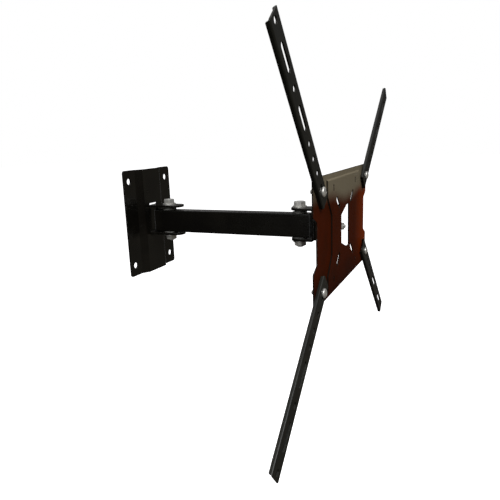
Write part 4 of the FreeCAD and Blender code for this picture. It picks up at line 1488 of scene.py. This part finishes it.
@dataclass
class Tongue:
    """The inner bracket of the tilt joint, with the levelling bolt."""

    fasteners: Fasteners
    bolt_radius: float = 3.0 * MM
    bolt_flats: float = 10.0 * MM
    bolt_pitch: float = 1.0 * MM
    bolt_hole: float = 3.25 * MM
    washer_bore: float = 3.2 * MM

    def build(self) -> None:
        """Make the tongue and the levelling hardware."""
        cheeks = Cheeks("tilt_tongue", "tilt", 1, 11.0 * MM, 4.05 * MM)
        cheeks.build([Outline.ring(0.0, 0.0, self.bolt_hole)])
        kit, radius, flats = self.fasteners, self.bolt_radius, self.bolt_flats
        bolt_low, bolt_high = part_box("level_bolt")
        nut_low, nut_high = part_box("level_nut")
        washer_low, washer_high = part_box("level_washer")
        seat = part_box("tilt_tongue")[0].y + cheeks.sheet
        forge = Forge()
        kit.bolt(forge, Workshop.stand((0, seat, 0), (0, 1, 0)), radius, flats,
                 bolt_high.y - seat, seat - bolt_low.y, nut_high.y - bolt_low.y + 1.0 * MM,
                 self.bolt_pitch)
        forge.piece("level_bolt_threaded", "tilt", Slot.ZINC, "level_bolt")
        forge = Forge()
        kit.nut(forge, Workshop.stand((0, nut_high.y, 0), (0, 1, 0)), radius, flats,
                nut_high.y - nut_low.y)
        forge.piece("level_lock_nut", "tilt", Slot.ZINC, "level_nut")
        forge = Forge()
        kit.washer(forge, Workshop.stand((0, washer_high.y, 0), (0, -1, 0)), self.washer_bore,
                   washer_high.x, washer_high.y - washer_low.y)
        forge.piece("level_washer_stamped", "tilt", Slot.ZINC, "level_washer")


@dataclass
class ScreenPlate:
    """The wide pressed plate behind the screen, its strap and its pivot fasteners."""

    fasteners: Fasteners
    welder: Welder
    setter: PivotSetter
    sheet: float = 2.0 * MM
    rise: float = 2.0 * MM
    ramp: float = 2.6 * MM
    corner: float = 5.0 * MM
    notch: Tuple[float, float, float] = (17.0 * MM, 29.5 * MM, 8.5 * MM)
    margin: float = 7.0 * MM
    waist: Pair = (79.5 * MM, 29.0 * MM)
    shoulder: Pair = (102.0 * MM, 57.0 * MM)
    window: Pair = (24.0 * MM, 34.0 * MM)
    window_cut: Pair = (34.0 * MM, 12.0 * MM)
    slot_ends: Pair = (37.5 * MM, 50.0 * MM)
    slot_radius: float = 3.5 * MM
    tie: Tuple[float, float, float, float] = (69.0 * MM, 68.0 * MM, 1.75 * MM, 4.5 * MM)
    bolt_hole: float = 3.25 * MM
    strap_sheet: float = 3.0 * MM
    head_radius: float = 7.0 * MM
    head_height: float = 4.0 * MM
    socket: float = 2.4 * MM
    pin: float = 3.0 * MM
    pitch: float = 1.0 * MM
    thread: float = 10.0 * MM
    washer_bore: float = 3.3 * MM
    washer_radius: float = 8.0 * MM
    nut_flats: float = 10.0 * MM
    strap_hole: float = 3.05 * MM
    strap_fold: float = 3.0 * MM
    bead: float = 2.6 * MM

    def edges(self) -> List[Cut]:
        """The raised waist's edges in the first quarter, as signed distances inwards."""
        _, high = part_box("vesa_plate")
        top = high.z - self.margin
        run = self.shoulder[0] - self.waist[0]
        climb = self.shoulder[1] - self.waist[1]
        size = math.hypot(run, climb)
        slant = (-climb / size, run / size, (self.waist[0] * climb - self.waist[1] * run) / size)
        return [(0.0, -1.0, top), (-1.0, 0.0, self.shoulder[0]), slant, (-1.0, 0.0, self.waist[0])]

    def relief(self, edges: Sequence[Cut], x: float, z: float) -> float:
        """How far the plate is pressed forward at a place, from 0 to 1."""
        top, side, slant, waist = [a * abs(x) + b * abs(z) + c for a, b, c in edges]
        inside = min(top, side, max(slant, waist))
        part = min(1.0, max(0.0, inside / self.ramp))
        return part * part * (3 - 2 * part)

    def cuts(self) -> List[Cut]:
        """Rows of vertices along the creases and along the lines where they meet."""
        top, side, slant, waist = self.edges()
        lines = []
        for line in (top, side, slant, waist):
            for part in (0.0, 0.14, 0.32, 0.5, 0.68, 0.86, 1.0):
                lines.append((line[0], line[1], line[2] - part * self.ramp))
        for first, second in ((top, side), (side, slant), (slant, waist)):
            lines.append(tuple(a - b for a, b in zip(first, second)))
        made = []
        for a, b, c in lines:
            for sign_x, sign_z in ((1, 1), (1, -1), (-1, 1), (-1, -1)):
                cut = (a * sign_x, b * sign_z, c)
                if cut not in made:
                    made.append(cut)
        return made

    def plate(self) -> None:
        """The notched plate with its raised waist, window and slots."""
        _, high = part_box("vesa_plate")
        middle = high.y - self.sheet / 2
        edges = self.edges()

        def lay(s: float, v: float) -> Tuple[Vector, Vector]:
            """Press the waist forward."""
            y = middle - self.rise * self.relief(edges, s, v)
            return Vector((s, y, v)), Vector((0.0, -1.0, 0.0))

        deep, flat, slope = self.notch
        quarter = [(high.x, high.z), (high.x, flat + slope), (high.x - deep, flat)]
        radii = [self.corner, 1.5 * MM, 1.5 * MM]
        radii = radii + radii[::-1]
        outline = Outline.rounded(Outline.mirrored(quarter), radii + radii)
        cut_x, cut_z = self.window_cut
        side, top = self.window
        window = [(cut_x - side, -top), (side, -top), (side, top), (cut_x - side, top),
                  (-side, top - cut_z), (-side, cut_z - top)]
        holes = [Outline.rounded(window, 0.8 * MM, 3)]
        pivot = joint_place("spread_upper_right")
        tie_x, tie_z, tie_wide, tie_tall = self.tie
        near, far = self.slot_ends
        for sx in (-1, 1):
            for sz in (-1, 1):
                holes.append(Outline.slot((sx * near, sz * near), (sx * far, sz * far),
                                          self.slot_radius))
                holes.append(Outline.box((sx * tie_x - tie_wide, sz * tie_z - tie_tall),
                                         (sx * tie_x + tie_wide, sz * tie_z + tie_tall), 0.8 * MM))
                holes.append(Outline.ring(sx * pivot[0], sz * pivot[2], self.bolt_hole, 28))
        forge = Forge()
        Sheet(outline, holes, self.sheet, lay, self.cuts(), rim=0.3 * MM).build(forge)
        forge.piece("screen_plate_pressed", "screen", Slot.PLATE, "vesa_plate")

    def strap(self) -> None:
        """The joggled strap across the window's back, and the beads along its feet."""
        low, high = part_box("level_strap")
        half = self.strap_sheet / 2
        near, far = high.y - half, low.y + half
        foot, knee = self.window[1] + 4 * MM, self.window[1]
        line = FoldLine([(far, low.z), (far, -foot), (near, -knee), (near, knee), (far, foot),
                         (far, high.z)], self.strap_fold)
        forge = Forge()
        Sheet(line.band(high.x, 2.0 * MM), [Outline.ring(0.0, 0.0, self.strap_hole, 28)],
              self.strap_sheet, line.level, line.cuts()).build(forge)
        forge.piece("level_strap_folded", "screen", Slot.FRAME, "level_strap")
        x, y = high.x + 0.2 * MM, low.y + 0.2 * MM
        runs = [((sx * x, y, sz * (high.z - 10 * MM)), (sx * x, y, sz * (high.z - 2 * MM)))
                for sx in (-1, 1) for sz in (-1, 1)]
        # The beads take the plate's finish, painted reflection included.
        self.welder.lay("level_strap_welds", "screen", Slot.PLATE, runs, self.bead, 37)

    def bolt(self, forge: Forge, up: Matrix, length: float) -> None:
        """A round-headed bolt with a hex socket, whose head stands on local z = 0.

        Args:
            forge: the mesh that it joins.
            up: places its axis.
            length: of the shank.
        """
        radius, depth, socket = self.head_radius, self.head_height, self.socket
        crown = [(0.0, 0.0), (radius - 0.2 * MM, 0.0), (radius, 0.2 * MM), (radius, depth * 0.3)]
        crown += [(radius * math.cos(a) * 0.998, depth * (0.3 + 0.7 * math.sin(a)))
                  for a in (math.pi / 2 * i / 9 for i in range(1, 7))]
        crown += [(socket + 0.25 * MM, depth), (socket, depth - 0.2 * MM),
                  (socket * 0.96, depth * 0.35), (0.0, depth * 0.3)]
        forge.turned(crown, up, 48, self.drive)
        forge.rod(2.9 * MM, self.thread - length, 0.1 * MM, up)
        self.fasteners.screw(forge, up, self.pin, length - self.thread, self.thread, self.pitch)

    @staticmethod
    def drive(radius: float, angle: float) -> float:
        """Make the small radii of a round head a six-sided driver socket."""
        if radius > 2.5 * MM:
            return radius
        return radius * 0.9 / math.cos(sixth(angle))

    def bar_fasteners(self) -> None:
        """Bolts, spacers, washers and nuts at the four bar pivots."""
        up = Workshop.stand((0, 0, 0), (0, -1, 0))
        bolts_low, bolts_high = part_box("arm_bolts")
        seat = bolts_low.y + self.head_height
        forge = Forge()
        self.bolt(forge, up, bolts_high.y - seat)
        self.setter.repeat("bar_bolts_threaded", forge, seat, Slot.ZINC, "arm_bolts")
        for node, name, slot in (("arm_spacers", "bar_spacers_turned", Slot.NYLON),
                                 ("arm_washers", "bar_washers_stamped", Slot.ZINC)):
            low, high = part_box(node)
            forge = Forge()
            self.fasteners.washer(forge, up, self.washer_bore, self.washer_radius,
                                  high.y - low.y)
            self.setter.repeat(name, forge, high.y, slot, node)
        low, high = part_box("arm_nuts")
        forge = Forge()
        self.fasteners.nut(forge, up, self.pin, self.nut_flats, high.y - low.y)
        self.setter.repeat("bar_lock_nuts", forge, low.y, Slot.ZINC, "arm_nuts")

    def build(self) -> None:
        """Make the plate, its strap and its fasteners."""
        self.plate()
        self.strap()
        self.bar_fasteners()


@dataclass
class ExtensionBar:
    """One shallow channel bar with its row of screw holes."""

    side: Side
    width: float = 27.8 * MM
    sheet: float = 2.0 * MM
    face: float = 5.9 * MM
    lip: float = 0.3 * MM
    reach: float = 249.5 * MM
    heel: float = 20.4 * MM
    fold: float = 1.6 * MM
    corner: float = 1.2 * MM
    step: float = 2.4 * MM
    hole: float = 4.25 * MM
    holes: Tuple[float, ...] = (34.8, 59.4, 84.0, 162.6, 241.5)
    slots: Tuple[float, ...] = (122.2, 200.6)
    slot_half: float = 13.75 * MM
    bolt_slot: float = 12.0 * MM
    bolt_radius: float = 3.05 * MM

    def build(self) -> None:
        """Make the bar at its rest angle about its pivot."""
        name = self.side.name.lower()
        across, up, angle = self.side.value
        pivot = joint_place("spread_" + name)
        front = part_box("arm_spacers")[1].y
        turn = math.radians(across * (angle if up > 0 else 180.0 - angle))
        where = Matrix.Translation((pivot[0], front, pivot[2])) @ Matrix.Rotation(turn, 4, "Y")
        spin = where.to_3x3()
        side = (self.width - self.sheet) / 2
        plane = self.sheet / 2 - self.face
        line = FoldLine([(-side, -self.lip), (-side, plane), (side, plane), (side, -self.lip)],
                        self.fold)

        def lay(s: float, v: float) -> Tuple[Vector, Vector]:
            """Follow the channel's section and run along the bar."""
            point, normal = line.upright(s, v)
            return where @ point, spin @ normal

        half = line.length / 2
        knee, step = side - self.fold, self.step
        top, foot = self.reach, -self.heel
        outline = Outline.rounded([(-half, foot + step), (-knee, foot), (knee, foot),
                                   (half, foot + step), (half, top - step), (knee, top),
                                   (-knee, top), (-half, top - step)], self.corner, 4)
        punched = [Outline.slot((0.0, 0.0), (0.0, self.bolt_slot), self.bolt_radius)]
        punched += [Outline.ring(0.0, spot * MM, self.hole, 36) for spot in self.holes]
        for spot in self.slots:
            low, high = spot * MM - self.slot_half, spot * MM + self.slot_half
            punched.append(Outline.slot((0.0, low), (0.0, high), self.hole))
        forge = Forge()
        Sheet(outline, punched, self.sheet, lay, line.cuts(), rim=0.3 * MM).build(forge)
        forge.piece(f"bar_{name}_rolled", "extension_" + name, Slot.BAR, "extension_arm_" + name)


# --------------------------------------------------------------------- studio


@dataclass
class Studio:
    """Camera, soft lights, pale floor and sky."""

    spot: Tuple[float, float, float] = (-0.785309, -0.563734, 0.141074)
    right: Tuple[float, float, float] = (0.40730973, -0.9125244, -0.03738987)
    up: Tuple[float, float, float] = (0.21038812, 0.05391171, 0.9761303)
    ahead: Tuple[float, float, float] = (0.88872697, 0.40545376, -0.21394306)
    lens: float = 36.486
    target: Tuple[float, float, float] = (0.0, -0.25, 0.0)
    floor_level: float = -0.42
    floor_half: float = 12.0
    floor_glow: float = 0.92

    def camera(self) -> None:
        """Put the camera in its place."""
        data = bpy.data.cameras.new("camera")
        data.sensor_width = 36.0
        data.lens = self.lens
        data.clip_start, data.clip_end = 0.01, 50.0
        made = bpy.data.objects.new("camera", data)
        bpy.context.scene.collection.objects.link(made)
        back = [-part for part in self.ahead]
        turn = Matrix((self.right, self.up, back)).transposed()
        made.matrix_world = Matrix.Translation(self.spot) @ turn.to_4x4()
        bpy.context.scene.camera = made

    def floor(self) -> None:
        """Lay the pale floor."""
        mesh = bpy.data.meshes.new("floor")
        half = self.floor_half
        corners = [(-half, -half), (half, -half), (half, half), (-half, half)]
        mesh.from_pydata([(x, y, self.floor_level) for x, y in corners], [], [(0, 1, 2, 3)])
        material = bpy.data.materials.new("floor_paper")
        material.use_nodes = True
        graph = Graph(material.node_tree)
        shade = graph.noise(graph.place(), 3.0, 2.0)
        graph.surface({
            "Base Color": graph.mix((0.93, 0.93, 0.93), (0.96, 0.96, 0.96), shade),
            "Roughness": 0.9,
            "Emission Color": (1.0, 1.0, 1.0, 1.0),
            "Emission Strength": self.floor_glow,
        })
        mesh.materials.append(material)
        made = bpy.data.objects.new("floor", mesh)
        bpy.context.scene.collection.objects.link(made)
        made.visible_glossy = False
        made.visible_diffuse = False

    def sky(self) -> None:
        """A white backdrop that lights the object more softly than it shows."""
        world = bpy.data.worlds.new("backdrop")
        bpy.context.scene.world = world
        world.use_nodes = True
        graph = Graph(world.node_tree)
        seen = graph.value("ShaderNodeLightPath", output="Is Camera Ray")
        across, along, height = graph.parts(graph.value("ShaderNodeTexCoord", output="Generated"))
        soft = graph.mix((0.03, 0.027, 0.024), (0.40, 0.40, 0.41), height.step(-0.1, 0.9))
        facing = across * self.ahead[0] + along * self.ahead[1] + height * self.ahead[2]
        soft = graph.mix(soft, (0.14, 0.128, 0.104),
                         along.step(-0.2, -0.45) * height.step(0.1, -0.05))
        soft = graph.mix(soft, (0.6, 0.6, 0.6), facing.step(0.84, 0.95) * height.step(0.14, 0.0))
        light = graph.mix(soft, (1.0, 1.0, 1.0), seen)
        back = graph.value("ShaderNodeBackground", None, {"Color": light, "Strength": 1.0})
        graph.node("ShaderNodeOutputWorld", None, {"Surface": back})

    def lamp(self, name: str, place: Sequence[float], size: Pair, power: float) -> None:
        """Add one soft box that points at the mount.

        Args:
            name: the lamp's name.
            place: where it stands.
            size: its width and height.
            power: in watts.
        """
        data = bpy.data.lights.new(name, "AREA")
        data.shape = "RECTANGLE"
        data.size, data.size_y = size
        data.energy = power
        made = bpy.data.objects.new(name, data)
        bpy.context.scene.collection.objects.link(made)
        turn = (Vector(self.target) - Vector(place)).to_track_quat("-Z", "Y")
        made.matrix_world = Matrix.Translation(place) @ turn.to_matrix().to_4x4()

    def build(self) -> None:
        """Set up the whole studio."""
        self.camera()
        self.floor()
        self.sky()
        self.lamp("key", (-1.3, -1.5, 1.5), (1.2, 1.2), 44.0)
        self.lamp("top", (0.0, -0.6, 2.2), (2.0, 2.0), 9.0)
        self.lamp("rim", (0.9, 0.9, 1.5), (0.8, 0.8), 4.0)
        self.lamp("side", (-2.0, -0.2, 0.6), (1.2, 1.4), 9.0)
        bpy.context.scene.view_settings.view_transform = "Standard"
        LOG.info("studio ready")


def main() -> None:
    """Build every part of the mount in order."""
    logging.basicConfig(level=logging.INFO, format="%(name)s: %(message)s")
    Studio().build()
    threads, welder, setter = ThreadCutter(), Welder(), PivotSetter()
    fasteners = Fasteners(threads)
    WallPlate(welder).build()
    Pivot(fasteners, "wall", "wall").build()
    ArmTube().build()
    Pivot(fasteners, "head", "head").build()
    Head(fasteners, welder).build()
    Tongue(fasteners).build()
    ScreenPlate(fasteners, welder, setter).build()
    for side in Side:
        ExtensionBar(side).build()


if __name__ == "__main__":
    main()
